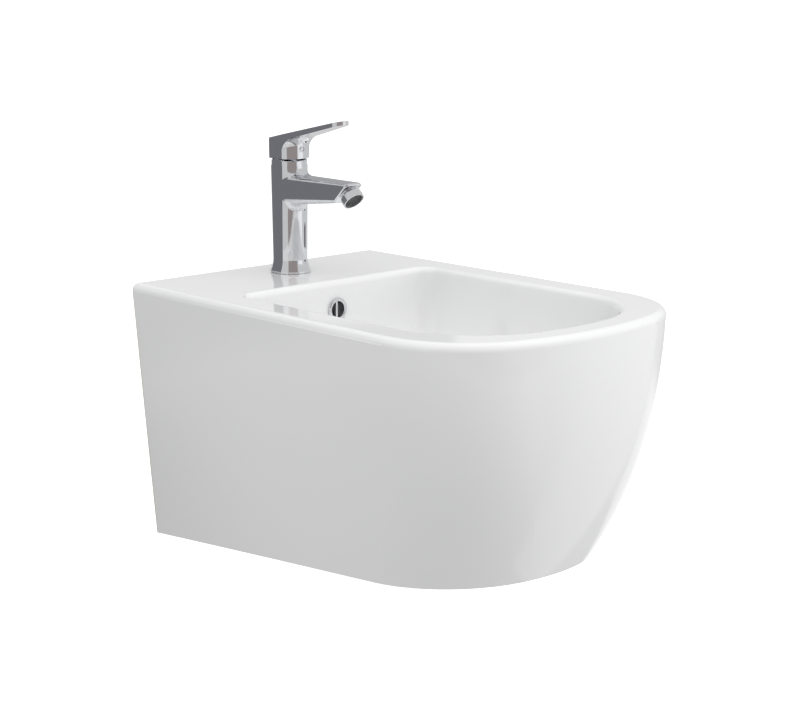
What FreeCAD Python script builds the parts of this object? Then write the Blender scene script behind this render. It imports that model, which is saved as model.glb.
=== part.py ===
import FreeCAD, Part
import math
import os

from FreeCAD import Placement, Rotation, Vector

# Wall-hung bidet with a single-lever mixer, in millimetres.
# +Z is up, the wall is the plane y = 0 and the front points to -Y.
# The origin lies on the wall, midway between the two fixing studs.

# Ceramic body: overall sizes
BODY_WIDTH = 360.0
BODY_LENGTH = 525.0
BODY_HEIGHT = 290.0
RIM_HEIGHT = 90.0
CHINA_WALL = 11.0
DECK_THICKNESS = 15.0
BACK_WALL = 14.0

# Ceramic body: outer form between foot and rim
FOOT_BACK_WIDTH = 312.0
FOOT_FRONT_WIDTH = 265.0
FOOT_LENGTH = 450.0
FOOT_RISE = 28.0
RIM_CORNER_INSET = 69.0
RIM_FRONT_EASE = 245.0
FOOT_CORNER_INSET = 3.0
FOOT_FRONT_EASE = 20.0
FRONT_SWELL = 2.5
SIDE_SWELL = 1.2
HULL_LEVELS = 6
RIM_ROUND = 8.0

# Bowl
RIM_SIDE_WIDTH = 43.0
RIM_FRONT_WIDTH = 36.0
BOWL_FROM_WALL = 135.5
BOWL_DEPTH = 118.0
BOWL_BRIM = 16.0
BOWL_FULLNESS = 0.77
BOWL_LEVELS = 6
MOUTH_CORNER_INSET = 28.0
MOUTH_FRONT_EASE = 195.0
MOUTH_BACK_CORNER = 18.0
MOUTH_ROUND = 7.0
FLOOR_RADIUS = 40.0
FLOOR_CORNER_INSET = 4.0
FLOOR_FRONT_EASE = 7.0
FLOOR_BACK_CORNER = 30.0

# Overflow: hole, ring and the channel that leads to the waste
OVERFLOW_DROP = 33.0
OVERFLOW_HOLE_RADIUS = 11.0
OVERFLOW_RING_RADIUS = 13.2
OVERFLOW_RING_BORE = 9.0
OVERFLOW_FLANGE = 3.0
OVERFLOW_BAR = 2.6
OVERFLOW_SLEEVE = 9.0
CHANNEL_HALF_WIDTH = 15.0
CHANNEL_DEPTH = 12.0
CHANNEL_WALL = 9.0

# Wall fixing
STUD_SPACING = 180.0
STUD_CLEAR_RADIUS = 6.5
SLEEVE_WALL = 3.5
SLEEVE_FLANGE_RADIUS = 17.0
SLEEVE_FLANGE = 3.0
WASHER_RADIUS = 15.0
WASHER_THICKNESS = 2.5
NUT_BORE_RADIUS = 6.1
NUT_ACROSS_FLATS = 18.0
NUT_HEIGHT = 10.0
NUT_SIDES = 6
NUT_CHAMFER_ANGLE = 30.0
WINDOW_WIDTH = 124.0
WINDOW_TOP_HEIGHT = 30.0
WINDOW_SILL = 32.0
WINDOW_CORNER = 18.0

# Tap body
TAP_FROM_WALL = 56.0
TAP_HOLE_RADIUS = 16.5
BASE_RADIUS = 23.1
BASE_LIP = 2.5
NECK_RADIUS = 19.6
FLARE_HEIGHT = 15.0
FLARE_SAG = 0.6
TOP_RADIUS = 20.8
COLUMN_HEIGHT = 121.5
FLAT_DEPTH = 1.7
FLAT_TOP_DEPTH = 2.4
BASE_GAP = 0.4
CHAMBER_RADIUS = 15.5
CHAMBER_HEIGHT = 24.0

# Spout and its slanted end
SPOUT_ROOT_REACH = 4.0
SPOUT_ROOT_HALF_WIDTH = 18.9
SPOUT_ROOT_LOW = 77.0
SPOUT_ROOT_LOW_ROUND = 11.0
SPOUT_TOP = 110.5
SPOUT_TOP_ROUND = 7.0
SPOUT_END_HALF_WIDTH = 12.8
SPOUT_END_LOW = 86.8
SPOUT_END_ROUND = 6.5
SPOUT_END_EDGE = 2.0
SPOUT_BLEND = 9.0
OUTLET_TILT = 45.0
OUTLET_REACH = 100.8
OUTLET_HEIGHT = 98.7

# Supply ports, fixing stud and clamp under the deck
PORT_SPACING = 12.0
PORT_SETBACK = 0.5
PORT_RADIUS = 4.5
PORT_DEPTH = 12.0
WATERWAY_RADIUS = 2.4
STUD_OFFSET = 11.2
STUD_RADIUS = 4.0
STUD_GRIP = 14.0
STUD_TAIL = 20.0
THREAD_CLEARANCE = 0.1
CLAMP_RADIUS = 25.0
CLAMP_SLOT_HALF_WIDTH = 12.6
CLAMP_SLOT_END = 5.4
CLAMP_GASKET = 3.0
CLAMP_PLATE = 3.5
CLAMP_NUT_HEIGHT = 12.0
CLAMP_NUT_ACROSS_FLATS = 13.0
BASE_GASKET_OUTER = 19.4
BASE_GASKET_INNER = 17.2
BASE_GASKET_HEIGHT = 2.4

# Cartridge, heights above the deck
SEAT_HEIGHT = 92.0
CARTRIDGE_RADIUS = 12.5
CARTRIDGE_SEAL = 1.2
CARTRIDGE_BASE = 2.8
DISC_THICKNESS = 3.0
FIXED_DISC_RADIUS = 10.9
MOVING_DISC_RADIUS = 8.9
DISC_RECESS = 1.6
CARRIER_PLATE = 4.5
CARRIER_KEY_WIDTH = 9.6
CARRIER_KEY_HEIGHT = 1.6
ROTOR_FLANGE = 3.8
ROTOR_RADIUS = 8.0
HOUSING_WALL = 1.3
HOUSING_ROOF = 2.5
HOUSING_NECK_WALL = 1.8
NECK_ABOVE_PIVOT = 6.0
BALL_TO_PIVOT = 8.5
STEM_BALL_RADIUS = 2.2
STEM_ARM_RADIUS = 1.5
STEM_HALF_SIDE = 3.5
STEM_BELOW_PIVOT = 3.0
STEM_TOP = 146.0
PIN_RADIUS = 1.5
PIN_CLEARANCE = 0.05
RUNNING_CLEARANCE = 0.1
SOCKET_CLEARANCE = 0.2
OUTLET_PORT_OFFSET = 5.5
LIFT_ANGLE = 22.0
CLAMP_RING_RADIUS = 15.5
CLAMP_RING_SKIRT = 4.0
CLAMP_RING_RISE = 2.5
SPANNER_SLOT = 4.0

# Cover ring and lever handle
COVER_INSET = 0.6
COVER_FLAT_INSET = 0.3
COVER_WALL = 1.4
COVER_OPENING = 15.5
COVER_STEP = 2.5
HEAD_RADIUS = 22.7
HEAD_FLAT_DEPTH = 2.8
HEAD_BOTTOM = 130.0
HEAD_WALL = 1.4
HEAD_SIDE_WALL = 1.1
COVER_CLEARANCE = 0.6
LEVER_TOP_HEIGHT = 155.4
LEVER_TOP_SLOPE = 12.7
LEVER_UNDER_HEIGHT = 147.8
LEVER_UNDER_SLOPE = 14.4
LEVER_TIP_REACH = 95.3
LEVER_TIP_RADIUS = 11.3
LEVER_ARCH = 12.0
LEVER_EDGE = 0.6
BOSS_HALF_SIDE = 5.5
BOSS_BOTTOM = 138.6
INDEX_HEIGHT = 140.8
INDEX_RADIUS = 3.6
INDEX_SHANK_RADIUS = 2.6
INDEX_SHANK = 3.0
INDEX_PROUD = 0.5
GRUB_RADIUS = 2.0
GRUB_LENGTH = 7.0

# Swivel outlet, lengths along its axis from the slanted end of the spout
BALL_RADIUS = 6.4
BALL_DEPTH = 2.5
BALL_CLEARANCE = 0.15
BALL_BORE = 2.8
BALL_NECK_RADIUS = 4.0
COLLAR_RADIUS = 9.0
COLLAR_BACK = 4.0
COLLAR_PROUD = 0.6
COLLAR_LIP_DEPTH = 0.4
COLLAR_FLARE = 0.5
SWIVEL_SEAT_RADIUS = 7.3
SWIVEL_SEAT_LENGTH = 3.4
SWIVEL_SEAT_BORE = 4.6
SPOUT_CHANNEL_RADIUS = 4.0
SPOUT_CHANNEL_HEIGHT = 84.0
SPOUT_CHANNEL_START = 6.0
NOZZLE_RADIUS = 12.4
NOZZLE_START = 3.4
NOZZLE_END = 11.8
NOZZLE_WALL = 1.6
NOZZLE_ROUND = 1.4
NOZZLE_LIP = 1.5
INSERT_RECESS = 0.8
INSERT_HOLE_RADIUS = 0.7
INSERT_HOLES = 8
INSERT_HOLE_CIRCLE = 6.0

# Waste, heights from the floor of the bowl
WASTE_FROM_WALL = 267.0
WASTE_THREAD_RADIUS = 20.9
WASTE_BORE = 18.6
WASTE_HOLE_CLEARANCE = 1.6
WASTE_LENGTH = 88.0
WASTE_TAIL = 25.0
WASTE_GROOVE_WIDTH = 2.0
WASTE_GROOVE_DEPTH = 0.8
FLANGE_RADIUS = 32.0
FLANGE_HEIGHT = 3.0
FLANGE_PROUD = 1.5
FLANGE_CLEARANCE = 1.0
FLANGE_GASKET = 1.5
FLANGE_GASKET_INNER = 23.5
FLANGE_GASKET_OUTER = 31.0
WASTE_BOSS_RADIUS = 34.0
WASTE_BOSS_DEPTH = 46.0
OVERFLOW_SLOT_WIDTH = 14.0
OVERFLOW_SLOT_HEIGHT = 9.0
OVERFLOW_SLOT_DEPTH = 36.0
LOWER_GASKET = 6.0
LOWER_GASKET_RADIUS = 30.0
BACK_NUT_HEIGHT = 9.0
BACK_NUT_ACROSS_FLATS = 54.0
SPIDER_TOP = 18.0
SPIDER_HEIGHT = 6.0
SPIDER_BAR = 4.0
SPIDER_HUB_RADIUS = 9.0
SEAT_LIP_TOP = 5.5
SEAT_LIP_HEIGHT = 2.5
SEAT_LIP_BORE = 15.6

# Push plug in the waste
PLUG_TRAVEL = 8.0
PLUG_RADIUS = 17.8
PLUG_EDGE = 2.4
PLUG_CROWN = 2.6
PLUG_SEAL_HEIGHT = 2.0
PLUG_SEAL_INNER = 14.5
PLUG_SEAT_GAP = 0.1
LATCH_RADIUS = 6.0
LATCH_WALL = 1.4
LATCH_ABOVE_SPIDER = 2.0
LATCH_LENGTH = 34.0
LATCH_FLOOR = 1.5
LATCH_LID = 2.0
PLUNGER_HEIGHT = 5.0
PLUG_STEM_RADIUS = 3.0
SPRING_WIRE_RADIUS = 0.35
SPRING_TURNS = 6
SPRING_CLEARANCE = 0.35

# Places worked out from the sizes above
RIM_Z = RIM_HEIGHT
BASE_Z = RIM_Z - BODY_HEIGHT
FLOOR_Z = RIM_Z - BOWL_DEPTH
MOUTH_HALF = BODY_WIDTH / 2 - RIM_SIDE_WIDTH
SLEEVE_RADIUS = STUD_CLEAR_RADIUS + SLEEVE_WALL
SEAL_TOP = SEAT_HEIGHT + CARTRIDGE_SEAL
DISC_BASE = SEAL_TOP + CARTRIDGE_BASE
DISC_FACE = DISC_BASE + DISC_THICKNESS
CARRIER_BASE = DISC_FACE + RUNNING_CLEARANCE / 2 + DISC_THICKNESS
CARRIER_TOP = CARRIER_BASE + CARRIER_PLATE
ROTOR_BASE = CARRIER_TOP + RUNNING_CLEARANCE
HOUSING_CEILING = ROTOR_BASE + ROTOR_FLANGE + RUNNING_CLEARANCE
SHOULDER = HOUSING_CEILING + HOUSING_ROOF
STEM_BALL_HEIGHT = CARRIER_TOP - STEM_BALL_RADIUS + CARRIER_KEY_HEIGHT
PIVOT_HEIGHT = STEM_BALL_HEIGHT + BALL_TO_PIVOT
NECK_TOP = PIVOT_HEIGHT + NECK_ABOVE_PIVOT
HOUSING_BORE = CARTRIDGE_RADIUS - HOUSING_WALL
NECK_BORE = ROTOR_RADIUS + RUNNING_CLEARANCE
HOUSING_NECK_RADIUS = NECK_BORE + HOUSING_NECK_WALL
DISC_TRAVEL = BALL_TO_PIVOT * math.sin(math.radians(LIFT_ANGLE))
DISC_SHUT_OFFSET = DISC_TRAVEL / 2
HEAD_FLAT = HEAD_RADIUS - HEAD_FLAT_DEPTH
HEAD_BORE = HEAD_RADIUS - HEAD_WALL
HEAD_FLAT_BORE = HEAD_FLAT - HEAD_SIDE_WALL
COLUMN_FLAT = TOP_RADIUS - FLAT_TOP_DEPTH
BALL_SEAT_RADIUS = BALL_RADIUS + BALL_CLEARANCE
CLAMP_TOP = -DECK_THICKNESS - CLAMP_GASKET
CLAMP_BOTTOM = CLAMP_TOP - CLAMP_PLATE
STUD_BOTTOM = CLAMP_BOTTOM - CLAMP_NUT_HEIGHT - STUD_TAIL
WASTE_HOLE_RADIUS = WASTE_THREAD_RADIUS + WASTE_HOLE_CLEARANCE
FLANGE_SEAT = FLANGE_PROUD - FLANGE_HEIGHT - FLANGE_GASKET
SEAL_REST = -SEAT_LIP_TOP + PLUG_SEAT_GAP + PLUG_TRAVEL
CAP_REST = SEAL_REST + PLUG_SEAL_HEIGHT
LATCH_TOP = -SPIDER_TOP + LATCH_ABOVE_SPIDER
LATCH_BOTTOM = LATCH_TOP - LATCH_LENGTH
LATCH_BORE = LATCH_RADIUS - LATCH_WALL
PLUNGER_TOP = LATCH_TOP - LATCH_LID
PLUNGER_BOTTOM = PLUNGER_TOP - PLUNGER_HEIGHT
BIG = BODY_LENGTH
NEAR = 0.01

AXIS_X = Vector(1, 0, 0)
AXIS_Y = Vector(0, 1, 0)
AXIS_Z = Vector(0, 0, 1)
TAP_PLACE = Vector(0, -TAP_FROM_WALL, RIM_Z)
WASTE_PLACE = Vector(0, -WASTE_FROM_WALL, FLOOR_Z)


# Small shape helpers

def blend(low, high, share):
    """Value between two sizes at a share from 0 to 1."""
    return low + (high - low) * share


def cylinder(radius, low, high, x=0.0, y=0.0):
    """Upright cylinder between two heights."""
    return Part.makeCylinder(radius, high - low, Vector(x, y, low))


def tube(outer, inner, low, high):
    """Upright ring with a round bore."""
    return cylinder(outer, low, high).cut(cylinder(inner, low, high))


def block(x_half, y_low, y_high, z_low, z_high):
    """Box centred on x = 0."""
    corner = Vector(-x_half, y_low, z_low)
    return Part.makeBox(2 * x_half, y_high - y_low, z_high - z_low, corner)


def line(start, end):
    """Straight edge between two points."""
    return Part.LineSegment(start, end).toShape()


def arc(start, middle, end):
    """Circular edge through three points."""
    return Part.Arc(start, middle, end).toShape()


def mirrored(point):
    """The same point on the other side of the centre plane."""
    return Vector(-point.x, point.y, point.z)


def polygon_face(points):
    """Flat face with straight sides."""
    return Part.Face(Part.makePolygon(points + [points[0]]))


def turned(edges):
    """Solid of revolution about Z from the edges of a closed half profile in the XZ plane."""
    return Part.Face(Part.Wire(edges)).revolve(Vector(0, 0, 0), AXIS_Z, 360)


def turned_points(points):
    """Solid of revolution about Z from (radius, height) corners."""
    corners = [Vector(radius, 0, height) for radius, height in points]
    return polygon_face(corners).revolve(Vector(0, 0, 0), AXIS_Z, 360)


def hex_nut(across_flats, bore, low, high):
    """Upright hexagonal nut with turned-off corners and a round bore."""
    flat = across_flats / 2
    corner = flat / math.cos(math.pi / NUT_SIDES)
    angles = [2 * math.pi * side / NUT_SIDES for side in range(NUT_SIDES)]
    corners = [Vector(corner * math.cos(angle), corner * math.sin(angle), low) for angle in angles]
    prism = polygon_face(corners).extrude(Vector(0, 0, high - low))
    drop = (corner - flat) * math.tan(math.radians(NUT_CHAMFER_ANGLE))
    blank = turned_points([
        (bore, low), (flat, low), (corner, low + drop),
        (corner, high - drop), (flat, high), (bore, high),
    ])
    return prism.common(blank)


def sphere_height(radius, reach):
    """Height on a sphere of a given radius at a reach from its axis."""
    return math.sqrt(radius ** 2 - reach ** 2)


def on_tap(shape):
    """Move a piece from the tap's own frame, deck at z = 0, into place."""
    return shape.translated(TAP_PLACE)


def on_outlet(shape):
    """Move a piece from the outlet's own frame, axis along +Z, onto the end of the spout."""
    place = Vector(0, -OUTLET_REACH, OUTLET_HEIGHT)
    turn = Rotation(AXIS_X, 180 - OUTLET_TILT)
    placed = shape.copy()
    placed.Placement = Placement(place, turn).multiply(shape.Placement)
    return placed


def on_waste(shape):
    """Move a piece from the waste's own frame, bowl floor at z = 0, into place."""
    return shape.translated(WASTE_PLACE)


def save(shape, node):
    """Write one piece under its node name."""
    shape.exportStep("parts/" + node + ".step")


# Ceramic body

def bow_outline(back_half, back_y, front_half, front_y, corner, ease, back_corner, z):
    """Plan outline with a straight back, two corner arcs and one shallow front arc."""
    centre_x = front_half - corner
    drop = math.sqrt(ease ** 2 - centre_x ** 2)
    centre = Vector(centre_x, front_y + corner + ease - drop, z)
    side = Vector(back_half, back_y - back_corner, z)
    reach = side - centre
    touch = math.atan2(reach.y, reach.x) - math.acos(corner / reach.Length)
    meet = math.atan2(-drop, centre_x)
    middle = (touch + meet) / 2

    def on_corner(angle):
        return centre + Vector(math.cos(angle), math.sin(angle), 0) * corner

    points = [side, on_corner(touch), on_corner(middle), on_corner(meet)]
    side, start, bend, end = points
    edges = [
        line(side, start),
        arc(start, bend, end),
        arc(end, Vector(0, front_y, z), mirrored(end)),
        arc(mirrored(end), mirrored(bend), mirrored(start)),
        line(mirrored(start), mirrored(side)),
    ]
    if back_corner > 0:
        corner_centre = Vector(back_half - back_corner, back_y - back_corner, z)
        diagonal = back_corner * math.sqrt(0.5)
        turn = corner_centre + Vector(diagonal, diagonal, 0)
        back = Vector(corner_centre.x, back_y, z)
        edges.append(arc(mirrored(side), mirrored(turn), mirrored(back)))
        edges.append(line(mirrored(back), back))
        edges.append(arc(back, turn, side))
    else:
        edges.append(line(mirrored(side), side))
    return Part.Wire(edges)


def hull_outline(level, inset):
    """Outline of the skirt, run on behind the wall, at a level from foot (0) to rim (1)."""
    front_share = 1 - (1 - level) ** FRONT_SWELL
    side_share = 1 - (1 - level) ** SIDE_SWELL
    foot_corner = FOOT_FRONT_WIDTH / 2 - FOOT_CORNER_INSET
    rim_corner = BODY_WIDTH / 2 - RIM_CORNER_INSET
    return bow_outline(
        blend(FOOT_BACK_WIDTH, BODY_WIDTH, level) / 2 - inset,
        BACK_WALL,
        blend(FOOT_FRONT_WIDTH, BODY_WIDTH, side_share) / 2 - inset,
        inset - blend(FOOT_LENGTH, BODY_LENGTH, front_share),
        blend(foot_corner, rim_corner, front_share) - inset,
        blend(FOOT_FRONT_EASE, RIM_FRONT_EASE, front_share),
        0,
        blend(BASE_Z, RIM_Z, level),
    )


def bowl_outline(step, grow):
    """Outline of the bowl from its mouth (0) to its floor (1), grown by a wall."""
    angle = math.radians(90) * step
    share = 1 - math.cos(angle) ** BOWL_FULLNESS
    depth = BOWL_BRIM + (BOWL_DEPTH - BOWL_BRIM + grow) * math.sin(angle) ** BOWL_FULLNESS
    mouth_front = RIM_FRONT_WIDTH - BODY_LENGTH
    half = blend(MOUTH_HALF, FLOOR_RADIUS, share) + grow
    return bow_outline(
        half,
        blend(-BOWL_FROM_WALL, FLOOR_RADIUS - WASTE_FROM_WALL, share) + grow,
        half,
        blend(mouth_front, -FLOOR_RADIUS - WASTE_FROM_WALL, share) - grow,
        blend(MOUTH_HALF - MOUTH_CORNER_INSET, FLOOR_RADIUS - FLOOR_CORNER_INSET, share) + grow,
        blend(MOUTH_FRONT_EASE, FLOOR_FRONT_EASE, share),
        blend(MOUTH_BACK_CORNER, FLOOR_BACK_CORNER, share) + grow,
        RIM_Z - depth,
    )


def hull(inset):
    """Solid skirt form, drawn in by an inset."""
    steps = [index / (HULL_LEVELS - 1) for index in range(HULL_LEVELS)]
    return Part.makeLoft([hull_outline(step, inset) for step in steps], True)


def bowl(grow):
    """Solids that fill the bowl, grown by a wall: an upright brim over a rounded basin."""
    steps = [index / (BOWL_LEVELS - 1) for index in range(BOWL_LEVELS)]
    outlines = [bowl_outline(step, grow) for step in steps]
    brim = Part.Face(outlines[0]).extrude(Vector(0, 0, BOWL_BRIM))
    return [brim, Part.makeLoft(outlines, True)]


def edges_at(shape, test):
    """Edges whose every end and middle meets a test on a point."""
    def holds(edge):
        middle = edge.valueAt((edge.FirstParameter + edge.LastParameter) / 2)
        return test(middle) and all(test(vertex.Point) for vertex in edge.Vertexes)
    return [edge for edge in shape.Edges if holds(edge)]


def skirt_form():
    """Outer form of the body: rounded rim, foot cut to rise towards the front."""
    slope = FOOT_RISE / FOOT_LENGTH
    wedge = polygon_face([
        Vector(-BIG, 0, BASE_Z),
        Vector(-BIG, -BIG * 2, BASE_Z + slope * BIG * 2),
        Vector(-BIG, -BIG * 2, BASE_Z - BIG),
        Vector(-BIG, 0, BASE_Z - BIG),
    ]).extrude(Vector(2 * BIG, 0, 0))
    behind_wall = block(BIG, 0, BIG, BASE_Z - BIG, RIM_Z + BIG)
    form = hull(0).cut([wedge, behind_wall])
    rim = edges_at(form, lambda p: p.z > RIM_Z - NEAR)
    rim = [edge for edge in rim if edge.CenterOfMass.y < -NEAR]
    return form.makeFillet(RIM_ROUND, rim)


def channel_block(inset, top):
    """Keel behind and under the bowl that carries the overflow channel, up to a height."""
    half = CHANNEL_HALF_WIDTH + CHANNEL_WALL - inset
    back = CHINA_WALL + CHANNEL_DEPTH + CHANNEL_WALL - inset - BOWL_FROM_WALL
    bottom = FLOOR_Z - WASTE_BOSS_DEPTH + inset
    return block(half, -WASTE_FROM_WALL, back, bottom, top)


def window():
    """Service opening through the back wall."""
    low = BASE_Z + WINDOW_SILL
    opening = block(WINDOW_WIDTH / 2, -2 * BACK_WALL, BACK_WALL, low, WINDOW_TOP_HEIGHT)
    corners = [edge for edge in opening.Edges if edge.BoundBox.YLength > BACK_WALL]
    return opening.makeFillet(WINDOW_CORNER, corners)


def ceramic_body():
    """One fired piece: skirt, rim, deck, bowl, waste boss and overflow channel."""
    under_deck = block(BIG, -2 * BIG, -BACK_WALL, BASE_Z - BIG, RIM_Z - DECK_THICKNESS)
    shell = bowl(CHINA_WALL)
    boss_bottom = FLOOR_Z - WASTE_BOSS_DEPTH
    boss = cylinder(WASTE_BOSS_RADIUS, boss_bottom, FLOOR_Z, 0, -WASTE_FROM_WALL)
    hollow = hull(CHINA_WALL).common(under_deck)
    hollow = hollow.cut(shell + [channel_block(0, RIM_Z - DECK_THICKNESS), boss])
    overflow_z = RIM_Z - OVERFLOW_DROP
    channel = channel_block(CHANNEL_WALL, overflow_z + OVERFLOW_HOLE_RADIUS).cut(shell)
    body = skirt_form().cut(hollow)
    body = body.cut(bowl(0))
    body = body.cut(channel)
    seat = OVERFLOW_RING_RADIUS + FLANGE_CLEARANCE / 2
    spot = Part.makeCylinder(seat, CHINA_WALL, Vector(0, -BOWL_FROM_WALL, overflow_z), -AXIS_Y)
    hole_start = Vector(0, -BOWL_FROM_WALL - CHINA_WALL, overflow_z)
    hole_length = 2 * CHINA_WALL + CHANNEL_DEPTH / 2
    hole = Part.makeCylinder(OVERFLOW_HOLE_RADIUS, hole_length, hole_start, AXIS_Y)
    recess = cylinder(FLANGE_RADIUS + FLANGE_CLEARANCE, FLOOR_Z + FLANGE_SEAT, FLOOR_Z + BOWL_DEPTH / 2,
                      0, -WASTE_FROM_WALL)
    drain = cylinder(WASTE_HOLE_RADIUS, boss_bottom, FLOOR_Z, 0, -WASTE_FROM_WALL)
    tap_hole = cylinder(TAP_HOLE_RADIUS, RIM_Z - DECK_THICKNESS, RIM_Z, 0, -TAP_FROM_WALL)
    studs = [Part.makeCylinder(SLEEVE_RADIUS + RUNNING_CLEARANCE, BACK_WALL, Vector(x, 0, 0), -AXIS_Y)
             for x in (-STUD_SPACING / 2, STUD_SPACING / 2)]
    body = body.cut([spot, hole, recess, drain, tap_hole, window()] + studs)
    return body


def build_body():
    """Ceramic body with its rounded mouth."""
    body = ceramic_body()
    mouth_back = -BOWL_FROM_WALL + NEAR
    mouth = edges_at(body, lambda p: p.z > RIM_Z - NEAR and p.y < mouth_back)
    mouth = [edge for edge in mouth if edge.CenterOfMass.y > RIM_FRONT_WIDTH - BODY_LENGTH - NEAR]
    inner = [edge for edge in mouth if abs(edge.CenterOfMass.x) < MOUTH_HALF + NEAR]
    body = body.makeFillet(MOUTH_ROUND, inner)
    save(body, "ceramic_body")


def build_overflow_ring():
    """Trim ring of the overflow: flange, sleeve and one upright bar."""
    low = -OVERFLOW_SLEEVE
    edge = OVERFLOW_FLANGE / 2
    crown = OVERFLOW_RING_RADIUS - edge
    mouth = OVERFLOW_RING_BORE + edge
    sleeve = OVERFLOW_HOLE_RADIUS - THREAD_CLEARANCE
    corner = edge * math.sqrt(0.5)
    profile = [
        line(Vector(OVERFLOW_RING_BORE, 0, low), Vector(sleeve, 0, low)),
        line(Vector(sleeve, 0, low), Vector(sleeve, 0, 0)),
        line(Vector(sleeve, 0, 0), Vector(OVERFLOW_RING_RADIUS, 0, 0)),
        line(Vector(OVERFLOW_RING_RADIUS, 0, 0), Vector(OVERFLOW_RING_RADIUS, 0, edge)),
        arc(Vector(OVERFLOW_RING_RADIUS, 0, edge), Vector(crown + corner, 0, edge + corner),
            Vector(crown, 0, OVERFLOW_FLANGE)),
        line(Vector(crown, 0, OVERFLOW_FLANGE), Vector(mouth, 0, OVERFLOW_FLANGE)),
        arc(Vector(mouth, 0, OVERFLOW_FLANGE), Vector(mouth - corner, 0, edge + corner),
            Vector(OVERFLOW_RING_BORE, 0, edge)),
        line(Vector(OVERFLOW_RING_BORE, 0, edge), Vector(OVERFLOW_RING_BORE, 0, low)),
    ]
    ring = turned(profile)
    bar = block(OVERFLOW_BAR / 2, -OVERFLOW_RING_BORE, OVERFLOW_RING_BORE, low, 0)
    bar = bar.common(cylinder(OVERFLOW_RING_BORE + THREAD_CLEARANCE, low, 0))
    ring = ring.fuse(bar).removeSplitter()
    ring.rotate(Vector(0, 0, 0), AXIS_X, 90)
    save(ring.translated(Vector(0, -BOWL_FROM_WALL, RIM_Z - OVERFLOW_DROP)), "overflow_ring")


# Wall fixing

def at_studs(shape):
    """A piece at each stud, its axis turned from +Z to point away from the wall."""
    turned_piece = shape.copy()
    turned_piece.rotate(Vector(0, 0, 0), AXIS_X, 90)
    sides = (-STUD_SPACING / 2, STUD_SPACING / 2)
    return Part.makeCompound([turned_piece.translated(Vector(x, 0, 0)) for x in sides])


def build_wall_fixing():
    """Flanged sleeves, washers and nuts on the two wall studs."""
    flange_top = BACK_WALL + SLEEVE_FLANGE
    washer_top = flange_top + WASHER_THICKNESS
    nut_top = washer_top + NUT_HEIGHT
    sleeve = turned_points([
        (STUD_CLEAR_RADIUS, 0), (SLEEVE_RADIUS, 0), (SLEEVE_RADIUS, BACK_WALL),
        (SLEEVE_FLANGE_RADIUS, BACK_WALL), (SLEEVE_FLANGE_RADIUS, flange_top),
        (STUD_CLEAR_RADIUS, flange_top),
    ])
    washer = tube(WASHER_RADIUS, STUD_CLEAR_RADIUS, flange_top, washer_top)
    nut = hex_nut(NUT_ACROSS_FLATS, NUT_BORE_RADIUS, washer_top, nut_top)
    save(at_studs(sleeve), "wall_sleeves")
    save(at_studs(washer), "wall_washers")
    save(at_studs(nut), "wall_nuts")


# Tap body

def column_half(inset, top_inset):
    """Edges of the column's half profile, its side drawn in by an inset that changes to the top."""
    axis_foot = Vector(0, 0, BASE_GAP)
    foot = Vector(BASE_RADIUS - inset, 0, BASE_GAP)
    lip = Vector(BASE_RADIUS - inset, 0, BASE_LIP)
    neck = Vector(NECK_RADIUS - inset, 0, FLARE_HEIGHT)
    top = Vector(TOP_RADIUS - top_inset, 0, COLUMN_HEIGHT)
    axis_top = Vector(0, 0, COLUMN_HEIGHT)
    sag = (lip + neck) / 2 - Vector(FLARE_SAG, 0, FLARE_SAG / 2)
    return [line(axis_foot, foot), line(foot, lip), arc(lip, sag, neck), line(neck, top),
            line(top, axis_top), line(axis_top, axis_foot)]


def between_flats():
    """Everything between the column's two side flats, run on along the spout."""
    half = Part.Face(Part.Wire(column_half(FLAT_DEPTH, FLAT_TOP_DEPTH)))
    half.translate(Vector(0, -BIG, 0))
    slab = half.extrude(Vector(0, 2 * BIG, 0))
    return slab.fuse(slab.mirror(Vector(0, 0, 0), AXIS_X))


def rounded_section(half_width, low, high, low_round, high_round, place):
    """Rounded rectangle drawn in a plane, whose points are put in space by a function."""
    def corner(centre_x, centre_up, radius, start):
        points = []
        for turn in (0, 45, 90):
            angle = math.radians(start + turn)
            points.append(place(centre_x + radius * math.cos(angle), centre_up + radius * math.sin(angle)))
        return points

    low_x = half_width - low_round
    high_x = half_width - high_round
    corners = [
        corner(high_x, high - high_round, high_round, 0),
        corner(-high_x, high - high_round, high_round, 90),
        corner(-low_x, low + low_round, low_round, 180),
        corner(low_x, low + low_round, low_round, 270),
    ]
    edges = []
    for index, points in enumerate(corners):
        following = corners[(index + 1) % len(corners)]
        edges.append(arc(*points))
        edges.append(line(points[-1], following[0]))
    return Part.Wire(edges)


def spout():
    """Spout from inside the column to its slanted end."""
    rise = math.sin(math.radians(OUTLET_TILT))
    lean = math.cos(math.radians(OUTLET_TILT))

    def at_root(x, up):
        return Vector(x, -SPOUT_ROOT_REACH, up)

    def at_end(x, up):
        return Vector(x, -OUTLET_REACH - up * lean, OUTLET_HEIGHT + up * rise)

    root = rounded_section(SPOUT_ROOT_HALF_WIDTH, SPOUT_ROOT_LOW, SPOUT_TOP,
                           SPOUT_ROOT_LOW_ROUND, SPOUT_TOP_ROUND, at_root)
    end_low = (SPOUT_END_LOW - OUTLET_HEIGHT) / rise
    end_high = (SPOUT_TOP - OUTLET_HEIGHT) / rise
    end = rounded_section(SPOUT_END_HALF_WIDTH, end_low, end_high, SPOUT_END_ROUND, SPOUT_END_ROUND, at_end)
    form = Part.makeLoft([root, end], True, True)

    def at_slant(point):
        return abs((point.y + OUTLET_REACH) * rise + (point.z - OUTLET_HEIGHT) * lean) < NEAR

    return form.makeFillet(SPOUT_END_EDGE, edges_at(form, at_slant))


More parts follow.
